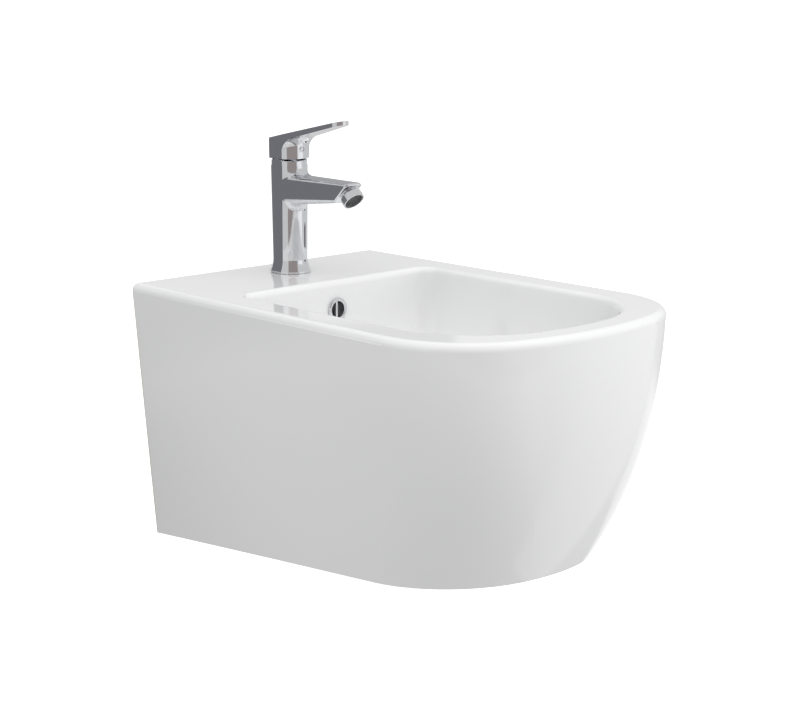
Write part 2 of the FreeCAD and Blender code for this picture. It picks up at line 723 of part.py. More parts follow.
def tap_waterways():
    """Bores in the tap body: chamber, ports, waterways, cartridge seat and outlet socket."""
    ceiling = CHAMBER_HEIGHT
    ring_seat = SHOULDER - CLAMP_RING_SKIRT
    cuts = [
        cylinder(CHAMBER_RADIUS, 0, ceiling),
        tube(BASE_GASKET_OUTER, BASE_GASKET_INNER, 0, BASE_GASKET_HEIGHT),
        cylinder(STUD_RADIUS + THREAD_CLEARANCE, 0, ceiling + STUD_GRIP, 0, STUD_OFFSET),
        cylinder(CARTRIDGE_RADIUS + RUNNING_CLEARANCE, SEAT_HEIGHT, COLUMN_HEIGHT),
        cylinder(CLAMP_RING_RADIUS + THREAD_CLEARANCE, ring_seat, COLUMN_HEIGHT),
        cylinder(WATERWAY_RADIUS, SPOUT_CHANNEL_HEIGHT, SEAT_HEIGHT, 0, -OUTLET_PORT_OFFSET),
    ]
    for x in (-PORT_SPACING / 2, PORT_SPACING / 2):
        cuts.append(cylinder(PORT_RADIUS, ceiling, ceiling + PORT_DEPTH, x, PORT_SETBACK))
        cuts.append(cylinder(WATERWAY_RADIUS, ceiling, SEAT_HEIGHT, x, PORT_SETBACK))
    seat_back = -COLLAR_BACK - RUNNING_CLEARANCE - SWIVEL_SEAT_LENGTH
    ball_back = -BALL_DEPTH - BALL_RADIUS - BALL_CLEARANCE
    cuts.append(on_outlet(cylinder(COLLAR_RADIUS + THREAD_CLEARANCE, -COLLAR_BACK, COLLAR_BACK)))
    cuts.append(on_outlet(cylinder(SWIVEL_SEAT_RADIUS + RUNNING_CLEARANCE, seat_back, 0)))
    cuts.append(on_outlet(cylinder(SWIVEL_SEAT_BORE, ball_back, seat_back)))
    start = Vector(0, -SPOUT_CHANNEL_START, SPOUT_CHANNEL_HEIGHT)
    run = Vector(0, -OUTLET_REACH, OUTLET_HEIGHT) - start
    tilt = math.radians(OUTLET_TILT)
    run = run + Vector(0, math.sin(tilt), math.cos(tilt)) * (BALL_DEPTH + BALL_RADIUS)
    cuts.append(Part.makeCylinder(SPOUT_CHANNEL_RADIUS, run.Length, start, run))
    return cuts


def build_tap_body():
    """Casting of a round column and the spout, blended and then cut flat on both sides."""
    body = turned(column_half(0, 0)).fuse(spout()).removeSplitter()

    def at_seam(point):
        within = SPOUT_ROOT_LOW - NEAR < point.z < SPOUT_TOP + NEAR
        near_axis = math.hypot(point.x, point.y) < TOP_RADIUS + NEAR
        return within and near_axis and point.y < -SPOUT_ROOT_REACH

    body = body.makeFillet(SPOUT_BLEND, edges_at(body, at_seam))
    body = body.common(between_flats()).cut(tap_waterways())
    save(on_tap(body), "tap_body")


def horseshoe(low, high):
    """Plate open to the front for the hoses, with a hole for the fixing stud."""
    plate = cylinder(CLAMP_RADIUS, low, high)
    slot = block(CLAMP_SLOT_HALF_WIDTH, -2 * CLAMP_RADIUS, CLAMP_SLOT_END, low, high)
    return plate.cut([slot, cylinder(STUD_RADIUS + 2 * THREAD_CLEARANCE, low, high, 0, STUD_OFFSET)])


def build_tap_fixing():
    """Gasket under the tap, and the stud, gasket, plate and nut that clamp it to the deck."""
    save(on_tap(tube(BASE_GASKET_OUTER - THREAD_CLEARANCE, BASE_GASKET_INNER + THREAD_CLEARANCE,
                     0, BASE_GASKET_HEIGHT)), "base_gasket")
    stud = cylinder(STUD_RADIUS, STUD_BOTTOM, CHAMBER_HEIGHT + STUD_GRIP, 0, STUD_OFFSET)
    save(on_tap(stud), "fixing_stud")
    save(on_tap(horseshoe(CLAMP_TOP, -DECK_THICKNESS)), "horseshoe_gasket")
    save(on_tap(horseshoe(CLAMP_BOTTOM, CLAMP_TOP)), "horseshoe_clamp")
    nut_low = CLAMP_BOTTOM - CLAMP_NUT_HEIGHT
    nut = hex_nut(CLAMP_NUT_ACROSS_FLATS, STUD_RADIUS + THREAD_CLEARANCE, nut_low, CLAMP_BOTTOM)
    save(on_tap(nut.translated(Vector(0, STUD_OFFSET, 0))), "clamp_nut")


# Cartridge

def cartridge_ports(low, high):
    """The two supply ports and the outlet port through a cartridge layer."""
    ports = [cylinder(WATERWAY_RADIUS, low, high, x, PORT_SETBACK)
             for x in (-PORT_SPACING / 2, PORT_SPACING / 2)]
    ports.append(cylinder(WATERWAY_RADIUS, low, high, 0, -OUTLET_PORT_OFFSET))
    return ports


def moving_disc():
    """Upper ceramic disc with the T-shaped mixing recess in its face."""
    low = DISC_FACE + RUNNING_CLEARANCE / 2
    disc = cylinder(MOVING_DISC_RADIUS, low, CARRIER_BASE)
    half_port = PORT_SPACING / 2
    bar_y = DISC_TRAVEL
    stem = block(WATERWAY_RADIUS, -OUTLET_PORT_OFFSET, bar_y, low, low + DISC_RECESS)
    bar = block(half_port, bar_y - WATERWAY_RADIUS / 2, bar_y + WATERWAY_RADIUS / 2, low, low + DISC_RECESS)
    return disc.cut([stem, bar]).translated(Vector(0, DISC_SHUT_OFFSET, 0))


def disc_carrier():
    """Carrier that holds the moving disc and slides in the rotor's slot."""
    plate = cylinder(MOVING_DISC_RADIUS, CARRIER_BASE, CARRIER_TOP)
    key_top = CARRIER_TOP + CARRIER_KEY_HEIGHT
    reach = math.sqrt(MOVING_DISC_RADIUS ** 2 - (CARRIER_KEY_WIDTH / 2) ** 2)
    key = block(CARRIER_KEY_WIDTH / 2, -reach, reach, CARRIER_TOP, key_top)
    socket_low = STEM_BALL_HEIGHT - STEM_BALL_RADIUS - SOCKET_CLEARANCE
    carrier = plate.fuse(key).removeSplitter().translated(Vector(0, DISC_SHUT_OFFSET, 0))
    return carrier.cut(cylinder(STEM_BALL_RADIUS + SOCKET_CLEARANCE, socket_low, key_top))


def cartridge_rotor():
    """Rotor that turns with the lever: flange, slotted drum and bores for the pivot pin."""
    drum = cylinder(ROTOR_RADIUS, ROTOR_BASE, NECK_TOP)
    flange = cylinder(HOUSING_BORE - RUNNING_CLEARANCE, ROTOR_BASE, ROTOR_BASE + ROTOR_FLANGE)
    slot_top = CARRIER_TOP + CARRIER_KEY_HEIGHT + RUNNING_CLEARANCE
    key_half = CARRIER_KEY_WIDTH / 2 + RUNNING_CLEARANCE
    key_slot = block(key_half, -HOUSING_BORE, HOUSING_BORE, ROTOR_BASE, slot_top)
    lift = math.radians(LIFT_ANGLE)
    back = STEM_HALF_SIDE / math.cos(lift) + NECK_ABOVE_PIVOT * math.tan(lift) + SOCKET_CLEARANCE
    front = DISC_TRAVEL + STEM_BALL_RADIUS + SOCKET_CLEARANCE
    stem_slot = block(STEM_HALF_SIDE + SOCKET_CLEARANCE, -front, back, ROTOR_BASE, NECK_TOP)
    pin = Part.makeCylinder(PIN_RADIUS + PIN_CLEARANCE / 2, 2 * ROTOR_RADIUS,
                            Vector(-ROTOR_RADIUS, 0, PIVOT_HEIGHT), AXIS_X)
    return drum.fuse(flange).removeSplitter().cut([key_slot, stem_slot, pin])


def lever_stem():
    """Square stem with a pivot hole, a lower arm and a ball end."""
    shank = block(STEM_HALF_SIDE, -STEM_HALF_SIDE, STEM_HALF_SIDE, PIVOT_HEIGHT - STEM_BELOW_PIVOT, STEM_TOP)
    arm = cylinder(STEM_ARM_RADIUS, STEM_BALL_HEIGHT, PIVOT_HEIGHT - STEM_BELOW_PIVOT)
    ball = Part.makeSphere(STEM_BALL_RADIUS, Vector(0, 0, STEM_BALL_HEIGHT))
    hole = Part.makeCylinder(PIN_RADIUS + PIN_CLEARANCE, 2 * ROTOR_RADIUS,
                             Vector(-ROTOR_RADIUS, 0, PIVOT_HEIGHT), AXIS_X)
    return shank.fuse([arm, ball]).removeSplitter().cut(hole)


def clamp_ring():
    """Threaded ring that holds the cartridge down, with spanner slots."""
    low = SHOULDER - CLAMP_RING_SKIRT
    top = COLUMN_HEIGHT + CLAMP_RING_RISE
    skirt_bore = CARTRIDGE_RADIUS + RUNNING_CLEARANCE
    neck_bore = HOUSING_NECK_RADIUS + RUNNING_CLEARANCE
    ring = turned_points([
        (CLAMP_RING_RADIUS, low), (CLAMP_RING_RADIUS, top), (neck_bore, top),
        (neck_bore, SHOULDER), (skirt_bore, SHOULDER), (skirt_bore, low),
    ])
    slot_low = top - CLAMP_RING_RISE
    across = block(SPANNER_SLOT / 2, -CLAMP_RING_RADIUS, CLAMP_RING_RADIUS, slot_low, top)
    along = across.copy()
    along.rotate(Vector(0, 0, 0), AXIS_Z, 90)
    return ring.cut([across, along])


def build_cartridge():
    """Every piece of the cartridge, from its seal up to the ring that clamps it."""
    seal = cylinder(CARTRIDGE_RADIUS, SEAT_HEIGHT, SEAL_TOP).cut(cartridge_ports(SEAT_HEIGHT, SEAL_TOP))
    base = cylinder(CARTRIDGE_RADIUS, SEAL_TOP, DISC_BASE).cut(cartridge_ports(SEAL_TOP, DISC_BASE))
    fixed = cylinder(FIXED_DISC_RADIUS, DISC_BASE, DISC_FACE).cut(cartridge_ports(DISC_BASE, DISC_FACE))
    housing = turned_points([
        (CARTRIDGE_RADIUS, DISC_BASE), (CARTRIDGE_RADIUS, SHOULDER), (HOUSING_NECK_RADIUS, SHOULDER),
        (HOUSING_NECK_RADIUS, NECK_TOP), (NECK_BORE, NECK_TOP), (NECK_BORE, HOUSING_CEILING),
        (HOUSING_BORE, HOUSING_CEILING), (HOUSING_BORE, DISC_BASE),
    ])
    pin = Part.makeCylinder(PIN_RADIUS, 2 * ROTOR_RADIUS - PIN_RADIUS,
                            Vector(-ROTOR_RADIUS + PIN_RADIUS / 2, 0, PIVOT_HEIGHT), AXIS_X)
    save(on_tap(seal), "cartridge_seal")
    save(on_tap(base), "cartridge_base")
    save(on_tap(fixed), "fixed_disc")
    save(on_tap(moving_disc()), "moving_disc")
    save(on_tap(disc_carrier()), "disc_carrier")
    save(on_tap(housing), "cartridge_housing")
    save(on_tap(cartridge_rotor()), "cartridge_rotor")
    save(on_tap(pin), "pivot_pin")
    save(on_tap(lever_stem()), "lever_stem")
    save(on_tap(clamp_ring()), "clamp_ring")


# Cover ring and lever

def build_cover_ring():
    """Domed trim ring whose top is round about the lever's pivot, so that the head clears it."""
    reach = math.hypot(min(HEAD_BORE, HEAD_FLAT_BORE), HEAD_BOTTOM - PIVOT_HEIGHT)
    outer = reach - COVER_CLEARANCE
    inner = outer - COVER_WALL
    side = TOP_RADIUS - COVER_INSET
    flat = COLUMN_FLAT - COVER_FLAT_INSET
    bore = flat - COVER_WALL

    def dome(radius, at):
        return Vector(at, 0, PIVOT_HEIGHT + sphere_height(radius, at))

    grip = CLAMP_RING_RADIUS + THREAD_CLEARANCE
    step = COLUMN_HEIGHT + COVER_STEP
    corners = [
        Vector(bore, 0, step), Vector(grip, 0, step), Vector(grip, 0, COLUMN_HEIGHT),
        Vector(side, 0, COLUMN_HEIGHT), dome(outer, side),
    ]
    edges = [line(start, end) for start, end in zip(corners, corners[1:])]
    edges.append(arc(dome(outer, side), dome(outer, (side + COVER_OPENING) / 2), dome(outer, COVER_OPENING)))
    edges.append(line(dome(outer, COVER_OPENING), dome(inner, COVER_OPENING)))
    edges.append(arc(dome(inner, COVER_OPENING), dome(inner, (bore + COVER_OPENING) / 2), dome(inner, bore)))
    edges.append(line(dome(inner, bore), Vector(bore, 0, step)))
    slab = block(flat, -side, side, COLUMN_HEIGHT, LEVER_TOP_HEIGHT)
    save(on_tap(turned(edges).common(slab)), "cover_ring")


def below_plane(height, slope):
    """Everything below a plane that rises to the front through a height on the axis."""
    rise = math.tan(math.radians(slope)) * BIG
    profile = polygon_face([
        Vector(-BIG, -BIG, height + rise), Vector(-BIG, BIG, height - rise),
        Vector(-BIG, BIG, height - 2 * BIG), Vector(-BIG, -BIG, height - 2 * BIG),
    ])
    return profile.extrude(Vector(2 * BIG, 0, 0))


def blade_plan(low):
    """Plan of the lever blade: parallel at the head, then tapered to a round tip."""
    flat_end = sphere_height(HEAD_RADIUS, HEAD_FLAT)
    start = Vector(HEAD_FLAT, -flat_end, low)
    root = Vector(HEAD_FLAT, 0, low)
    centre = Vector(0, LEVER_TIP_RADIUS - LEVER_TIP_REACH, low)
    reach = start - centre
    angle = math.atan2(reach.y, reach.x) - math.acos(LEVER_TIP_RADIUS / reach.Length)
    touch = centre + Vector(math.cos(angle), math.sin(angle), 0) * LEVER_TIP_RADIUS
    tip = Vector(0, -LEVER_TIP_REACH, low)
    return Part.Wire([
        line(root, start), line(start, touch), arc(touch, tip, mirrored(touch)),
        line(mirrored(touch), mirrored(start)), line(mirrored(start), mirrored(root)),
        line(mirrored(root), root),
    ])


def lever_form():
    """Outer form of the handle: flat-sided head, a rising blade and the arch between them."""
    top = below_plane(LEVER_TOP_HEIGHT, LEVER_TOP_SLOPE)
    under = below_plane(LEVER_UNDER_HEIGHT, LEVER_UNDER_SLOPE)
    slab = block(HEAD_FLAT, -HEAD_RADIUS, HEAD_RADIUS, HEAD_BOTTOM, BIG)
    head = cylinder(HEAD_RADIUS, HEAD_BOTTOM, BIG).common(slab)
    blade = Part.Face(blade_plan(HEAD_BOTTOM)).extrude(Vector(0, 0, BIG)).cut(under)
    form = head.fuse(blade).common(top).removeSplitter()
    rise = math.tan(math.radians(LEVER_UNDER_SLOPE))

    def at_arch(point):
        on_under = abs(point.z - LEVER_UNDER_HEIGHT + rise * point.y) < NEAR
        return on_under and abs(math.hypot(point.x, point.y) - HEAD_RADIUS) < NEAR

    form = form.makeFillet(LEVER_ARCH, edges_at(form, at_arch))
    slope = math.tan(math.radians(LEVER_TOP_SLOPE))
    outline = edges_at(form, lambda p: abs(p.z - LEVER_TOP_HEIGHT + slope * p.y) < NEAR)
    return form.makeFillet(LEVER_EDGE, outline)


def build_lever():
    """Hollow handle with its stem boss, the index plug and the grub screw behind it."""
    form = lever_form()
    under = below_plane(LEVER_UNDER_HEIGHT, LEVER_UNDER_SLOPE)
    room = block(HEAD_FLAT_BORE, -HEAD_BORE, HEAD_BORE, HEAD_BOTTOM, LEVER_TOP_HEIGHT)
    room = room.common(cylinder(HEAD_BORE, HEAD_BOTTOM, LEVER_TOP_HEIGHT)).common(under)
    boss = block(BOSS_HALF_SIDE, -BOSS_HALF_SIDE, BOSS_HALF_SIDE, BOSS_BOTTOM, LEVER_TOP_HEIGHT)
    grip = STEM_HALF_SIDE + THREAD_CLEARANCE
    socket = block(grip, -grip, grip, BOSS_BOTTOM, STEM_TOP + THREAD_CLEARANCE)
    recess_y = -sphere_height(HEAD_RADIUS, INDEX_RADIUS)
    screw_way = Part.makeCylinder(INDEX_SHANK_RADIUS + THREAD_CLEARANCE, HEAD_RADIUS,
                                  Vector(0, -BOSS_HALF_SIDE, INDEX_HEIGHT), -AXIS_Y)
    screw_hole = Part.makeCylinder(GRUB_RADIUS + THREAD_CLEARANCE, BOSS_HALF_SIDE,
                                   Vector(0, 0, INDEX_HEIGHT), -AXIS_Y)
    recess = Part.makeCylinder(INDEX_RADIUS + THREAD_CLEARANCE, HEAD_RADIUS,
                               Vector(0, recess_y, INDEX_HEIGHT), -AXIS_Y)
    handle = form.cut(room.cut(boss)).cut([socket, screw_way, screw_hole, recess])
    plug = Part.makeCylinder(INDEX_RADIUS, HEAD_RADIUS + INDEX_PROUD + recess_y,
                             Vector(0, recess_y, INDEX_HEIGHT), -AXIS_Y)
    shank = Part.makeCylinder(INDEX_SHANK_RADIUS, INDEX_SHANK, Vector(0, recess_y, INDEX_HEIGHT), AXIS_Y)
    screw = Part.makeCylinder(GRUB_RADIUS, GRUB_LENGTH, Vector(0, -STEM_HALF_SIDE, INDEX_HEIGHT), -AXIS_Y)
    save(on_tap(handle), "lever_handle")
    save(on_tap(plug.fuse(shank).removeSplitter()), "index_plug")
    save(on_tap(screw), "grub_screw")


# Swivel outlet

def ball_point(radius, along):
    """Point of a half profile on a sphere about the ball's centre."""
    return Vector(sphere_height(radius, along + BALL_DEPTH), 0, along)


def build_outlet():
    """Ball-joint outlet: collar, seat ring, ball with its neck, nozzle shell and insert."""
    lip = -COLLAR_LIP_DEPTH
    back = -COLLAR_BACK
    mouth = ball_point(BALL_SEAT_RADIUS, lip)
    flare = Vector(mouth.x + COLLAR_FLARE, 0, COLLAR_PROUD)
    rear = ball_point(BALL_SEAT_RADIUS, back)
    corners = [rear, Vector(COLLAR_RADIUS, 0, back), Vector(COLLAR_RADIUS, 0, COLLAR_PROUD), flare, mouth]
    edges = [line(start, end) for start, end in zip(corners, corners[1:])]
    edges.append(arc(mouth, ball_point(BALL_SEAT_RADIUS, (lip + back) / 2), rear))
    save(on_tap(on_outlet(turned(edges))), "swivel_collar")

    seat_front = back - RUNNING_CLEARANCE
    seat_back = seat_front - SWIVEL_SEAT_LENGTH
    bore_along = -BALL_DEPTH - sphere_height(BALL_SEAT_RADIUS, SWIVEL_SEAT_BORE)
    front = ball_point(BALL_SEAT_RADIUS, seat_front)
    inner = Vector(SWIVEL_SEAT_BORE, 0, bore_along)
    corners = [inner, Vector(SWIVEL_SEAT_BORE, 0, seat_back), Vector(SWIVEL_SEAT_RADIUS, 0, seat_back),
               Vector(SWIVEL_SEAT_RADIUS, 0, seat_front), front]
    edges = [line(start, end) for start, end in zip(corners, corners[1:])]
    edges.append(arc(front, ball_point(BALL_SEAT_RADIUS, (seat_front + bore_along) / 2), inner))
    save(on_tap(on_outlet(turned(edges))), "swivel_seat")

    insert_back = NOZZLE_START + NOZZLE_LIP
    insert_front = NOZZLE_END - INSERT_RECESS
    bore = NOZZLE_RADIUS - NOZZLE_WALL
    ball = Part.makeSphere(BALL_RADIUS, Vector(0, 0, -BALL_DEPTH))
    neck = cylinder(BALL_NECK_RADIUS, -BALL_DEPTH, insert_back)
    water = cylinder(BALL_BORE, -BALL_DEPTH - BALL_RADIUS, insert_back)
    save(on_tap(on_outlet(ball.fuse(neck).removeSplitter().cut(water))), "swivel_ball")

    shell = cylinder(NOZZLE_RADIUS, NOZZLE_START, NOZZLE_END)
    rims = [edge for edge in shell.Edges if len(edge.Vertexes) == 1]
    shell = shell.makeFillet(NOZZLE_ROUND, [edge for edge in rims if edge.CenterOfMass.z < insert_back])
    shell = shell.cut([cylinder(bore, insert_back, NOZZLE_END),
                       cylinder(BALL_NECK_RADIUS + THREAD_CLEARANCE, NOZZLE_START, insert_back)])
    save(on_tap(on_outlet(shell)), "nozzle_shell")

    insert = cylinder(bore - THREAD_CLEARANCE, insert_back, insert_front)
    holes = [cylinder(INSERT_HOLE_RADIUS, insert_back, insert_front)]
    for index in range(INSERT_HOLES):
        angle = 2 * math.pi * index / INSERT_HOLES
        holes.append(cylinder(INSERT_HOLE_RADIUS, insert_back, insert_front,
                              INSERT_HOLE_CIRCLE * math.cos(angle), INSERT_HOLE_CIRCLE * math.sin(angle)))
    save(on_tap(on_outlet(insert.cut(holes))), "aerator_insert")


# Waste and push plug

def build_waste_body():
    """Slotted waste with flange, plug seat and the spider that carries the latch."""
    top = FLANGE_PROUD
    under = top - FLANGE_HEIGHT
    edge = FLANGE_HEIGHT / 2
    tail = WASTE_TAIL - WASTE_LENGTH
    groove = WASTE_THREAD_RADIUS - WASTE_GROOVE_DEPTH
    body = turned_points([
        (WASTE_BORE, -WASTE_LENGTH), (WASTE_THREAD_RADIUS, -WASTE_LENGTH), (WASTE_THREAD_RADIUS, tail),
        (groove, tail), (groove, tail + WASTE_GROOVE_WIDTH),
        (WASTE_THREAD_RADIUS, tail + WASTE_GROOVE_WIDTH), (WASTE_THREAD_RADIUS, under),
        (FLANGE_RADIUS, under), (FLANGE_RADIUS, under + edge), (FLANGE_RADIUS - edge, top),
        (WASTE_THREAD_RADIUS, top - edge / 2), (WASTE_BORE, under), (WASTE_BORE, -SEAT_LIP_TOP),
        (SEAT_LIP_BORE, -SEAT_LIP_TOP), (SEAT_LIP_BORE, -SEAT_LIP_TOP - SEAT_LIP_HEIGHT),
        (WASTE_BORE, -SEAT_LIP_TOP - SEAT_LIP_HEIGHT),
    ])
    spider_low = -SPIDER_TOP - SPIDER_HEIGHT
    across = block(SPIDER_BAR / 2, -WASTE_BORE, WASTE_BORE, spider_low, -SPIDER_TOP)
    along = across.copy()
    along.rotate(Vector(0, 0, 0), AXIS_Z, 90)
    within = cylinder(WASTE_BORE + THREAD_CLEARANCE, spider_low, -SPIDER_TOP)
    spider = across.fuse([along, cylinder(SPIDER_HUB_RADIUS, spider_low, -SPIDER_TOP)]).common(within)
    body = body.fuse(spider).removeSplitter()
    body = body.cut(cylinder(LATCH_RADIUS + THREAD_CLEARANCE, spider_low, -SPIDER_TOP))
    slot_low = -OVERFLOW_SLOT_DEPTH - OVERFLOW_SLOT_HEIGHT / 2
    slot_high = slot_low + OVERFLOW_SLOT_HEIGHT
    slot = block(OVERFLOW_SLOT_WIDTH / 2, -FLANGE_RADIUS, FLANGE_RADIUS, slot_low, slot_high)
    body = body.cut(slot)
    save(on_waste(body), "waste_body")


def build_waste_fixing():
    """Gaskets on both sides of the ceramic and the back nut."""
    gasket = tube(FLANGE_GASKET_OUTER, FLANGE_GASKET_INNER, FLANGE_SEAT, FLANGE_SEAT + FLANGE_GASKET)
    save(on_waste(gasket), "flange_gasket")
    bore = WASTE_THREAD_RADIUS + THREAD_CLEARANCE
    gasket_low = -WASTE_BOSS_DEPTH - LOWER_GASKET
    lower = tube(LOWER_GASKET_RADIUS, bore, gasket_low, -WASTE_BOSS_DEPTH)
    save(on_waste(lower), "lower_gasket")
    nut_low = gasket_low - BACK_NUT_HEIGHT
    nut = hex_nut(BACK_NUT_ACROSS_FLATS, bore, nut_low, gasket_low)
    save(on_waste(nut), "back_nut")


def plug_cap():
    """Domed cap of the push plug."""
    shoulder = CAP_REST + PLUG_EDGE
    crown = shoulder + PLUG_CROWN
    dome = (PLUG_RADIUS ** 2 + PLUG_CROWN ** 2) / (2 * PLUG_CROWN)
    half_way = crown - dome + sphere_height(dome, PLUG_RADIUS / 2)
    centre = Vector(0, 0, CAP_REST)
    edges = [
        line(centre, Vector(PLUG_RADIUS, 0, CAP_REST)),
        line(Vector(PLUG_RADIUS, 0, CAP_REST), Vector(PLUG_RADIUS, 0, shoulder)),
        arc(Vector(PLUG_RADIUS, 0, shoulder), Vector(PLUG_RADIUS / 2, 0, half_way), Vector(0, 0, crown)),
        line(Vector(0, 0, crown), centre),
    ]
    return turned(edges)


def arc_from(start, along, end):
    """Points of the circular arc that leaves a start in a direction and stops at an end."""
    chord = end - start
    forward = Vector(chord).normalize()
    aside = (along - forward * along.dot(forward)).normalize()
    height = chord.Length / 2 * math.tan(along.getAngle(chord) / 2)
    return [start, start + chord / 2 + aside * height, end]


def arc_pair(start, leaving, end, arriving):
    """Two tangent arcs between two points with a direction at each."""
    span = end - start
    both = leaving + arriving
    bend = 2 * (1 - leaving.dot(arriving))
    reach = (math.sqrt(span.dot(both) ** 2 + bend * span.dot(span)) - span.dot(both)) / bend
    joint = (start + end + (leaving - arriving) * reach) / 2
    closing = arc_from(end, arriving * -1, joint)
    return [arc(*arc_from(start, leaving, joint)), arc(*reversed(closing))]


def plug_spring():
    """Coil spring under the plunger, one unbroken wire."""
    low = LATCH_BOTTOM + LATCH_FLOOR + SPRING_WIRE_RADIUS
    high = PLUNGER_BOTTOM - SPRING_WIRE_RADIUS
    mean = LATCH_BORE - SPRING_WIRE_RADIUS - SPRING_CLEARANCE
    climb = (high - low) / SPRING_TURNS / (2 * math.pi)

    def on_coil(angle):
        return Vector(mean * math.cos(angle), mean * math.sin(angle), low + climb * angle)

    def along_coil(angle):
        return Vector(-mean * math.sin(angle), mean * math.cos(angle), climb).normalize()

    edges = []
    for half_turn in range(2 * SPRING_TURNS):
        start = math.pi * half_turn
        end = start + math.pi
        edges += arc_pair(on_coil(start), along_coil(start), on_coil(end), along_coil(end))
    section = Part.Wire(Part.makeCircle(SPRING_WIRE_RADIUS, on_coil(0), AXIS_Y))
    return Part.Wire(edges).makePipeShell([section], True, False)


def build_plug():
    """Push plug: cap, seal, stem with plunger, latch housing and spring."""
    save(on_waste(plug_cap()), "plug_cap")
    seal = tube(PLUG_RADIUS, PLUG_SEAL_INNER, SEAL_REST, CAP_REST)
    save(on_waste(seal), "plug_seal")
    plunger = cylinder(LATCH_BORE - RUNNING_CLEARANCE, PLUNGER_BOTTOM, PLUNGER_TOP)
    stem = cylinder(PLUG_STEM_RADIUS, PLUNGER_BOTTOM, CAP_REST).fuse(plunger).removeSplitter()
    save(on_waste(stem), "plug_stem")
    latch = cylinder(LATCH_RADIUS, LATCH_BOTTOM, LATCH_TOP)
    room = cylinder(LATCH_BORE, LATCH_BOTTOM + LATCH_FLOOR, PLUNGER_TOP)
    way = cylinder(PLUG_STEM_RADIUS + RUNNING_CLEARANCE, PLUNGER_TOP, LATCH_TOP)
    save(on_waste(latch.cut([room, way])), "plug_latch")
    save(on_waste(plug_spring()), "plug_spring")


os.makedirs("parts", exist_ok=True)
build_body()
build_overflow_ring()
build_wall_fixing()
build_tap_body()
build_tap_fixing()
build_cartridge()
build_cover_ring()
build_lever()
build_outlet()
build_waste_body()
build_waste_fixing()
build_plug()
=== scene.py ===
import logging
import math
from dataclasses import dataclass, field
from enum import Enum
from typing import Optional, Sequence, Union

import bmesh
import bpy
from mathutils import Matrix, Vector


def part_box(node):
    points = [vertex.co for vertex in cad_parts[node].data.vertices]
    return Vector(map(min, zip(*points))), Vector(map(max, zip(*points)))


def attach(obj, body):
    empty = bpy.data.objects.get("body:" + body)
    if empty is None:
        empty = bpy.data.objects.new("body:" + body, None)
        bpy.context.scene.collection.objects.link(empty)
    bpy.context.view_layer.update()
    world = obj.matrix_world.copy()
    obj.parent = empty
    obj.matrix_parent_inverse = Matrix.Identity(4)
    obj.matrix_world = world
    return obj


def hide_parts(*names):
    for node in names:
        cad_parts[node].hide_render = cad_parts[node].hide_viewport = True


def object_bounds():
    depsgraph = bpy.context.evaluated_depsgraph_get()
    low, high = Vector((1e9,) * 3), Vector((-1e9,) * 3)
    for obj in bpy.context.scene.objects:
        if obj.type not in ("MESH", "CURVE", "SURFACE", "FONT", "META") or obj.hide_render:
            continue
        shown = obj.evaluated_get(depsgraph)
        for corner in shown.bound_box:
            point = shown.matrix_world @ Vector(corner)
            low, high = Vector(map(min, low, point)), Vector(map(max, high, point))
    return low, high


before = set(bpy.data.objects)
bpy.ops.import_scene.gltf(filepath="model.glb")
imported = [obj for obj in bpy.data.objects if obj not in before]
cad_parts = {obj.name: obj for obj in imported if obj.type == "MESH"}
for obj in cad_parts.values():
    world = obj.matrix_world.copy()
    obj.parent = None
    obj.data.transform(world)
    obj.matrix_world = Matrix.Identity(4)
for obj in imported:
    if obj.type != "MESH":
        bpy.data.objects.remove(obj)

CAD_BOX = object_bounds()
LOG = logging.getLogger("bidet")
MM = 0.001
WELD = MM / 1000
NEAR = MM / 100
SHARP_ANGLE = 32.0

Colour = tuple[float, float, float]


# Shader tools

class Value:
    """A socket of a shader tree on which Python's operators add Math nodes."""

    def __init__(self, tree: "ShaderTree", socket: bpy.types.NodeSocket) -> None:
        """Keep the tree and the output socket."""
        self.tree = tree
        self.socket = socket

    def _maths(self, operation: str, left: "Operand", right: "Operand") -> "Value":
        """Add one Math node.

        Args:
            operation: Name of the Math node's operation.
            left: First operand.
            right: Second operand.

        Returns:
            The node's result.
        """
        return self.tree.node("ShaderNodeMath", {"operation": operation}, {0: left, 1: right})

    def __add__(self, other: "Operand") -> "Value":
        """Sum."""
        return self._maths("ADD", self, other)

    def __radd__(self, other: "Operand") -> "Value":
        """Sum, with this value on the right."""
        return self._maths("ADD", other, self)

    def __sub__(self, other: "Operand") -> "Value":
        """Difference."""
        return self._maths("SUBTRACT", self, other)

    def __rsub__(self, other: "Operand") -> "Value":
        """Difference, with this value on the right."""
        return self._maths("SUBTRACT", other, self)

    def __mul__(self, other: "Operand") -> "Value":
        """Product."""
        return self._maths("MULTIPLY", self, other)

    def __rmul__(self, other: "Operand") -> "Value":
        """Product, with this value on the right."""
        return self._maths("MULTIPLY", other, self)

    def __pow__(self, other: "Operand") -> "Value":
        """Power."""
        return self._maths("POWER", self, other)


Operand = Union[Value, float]
Input = Union[Value, float, Sequence[float]]


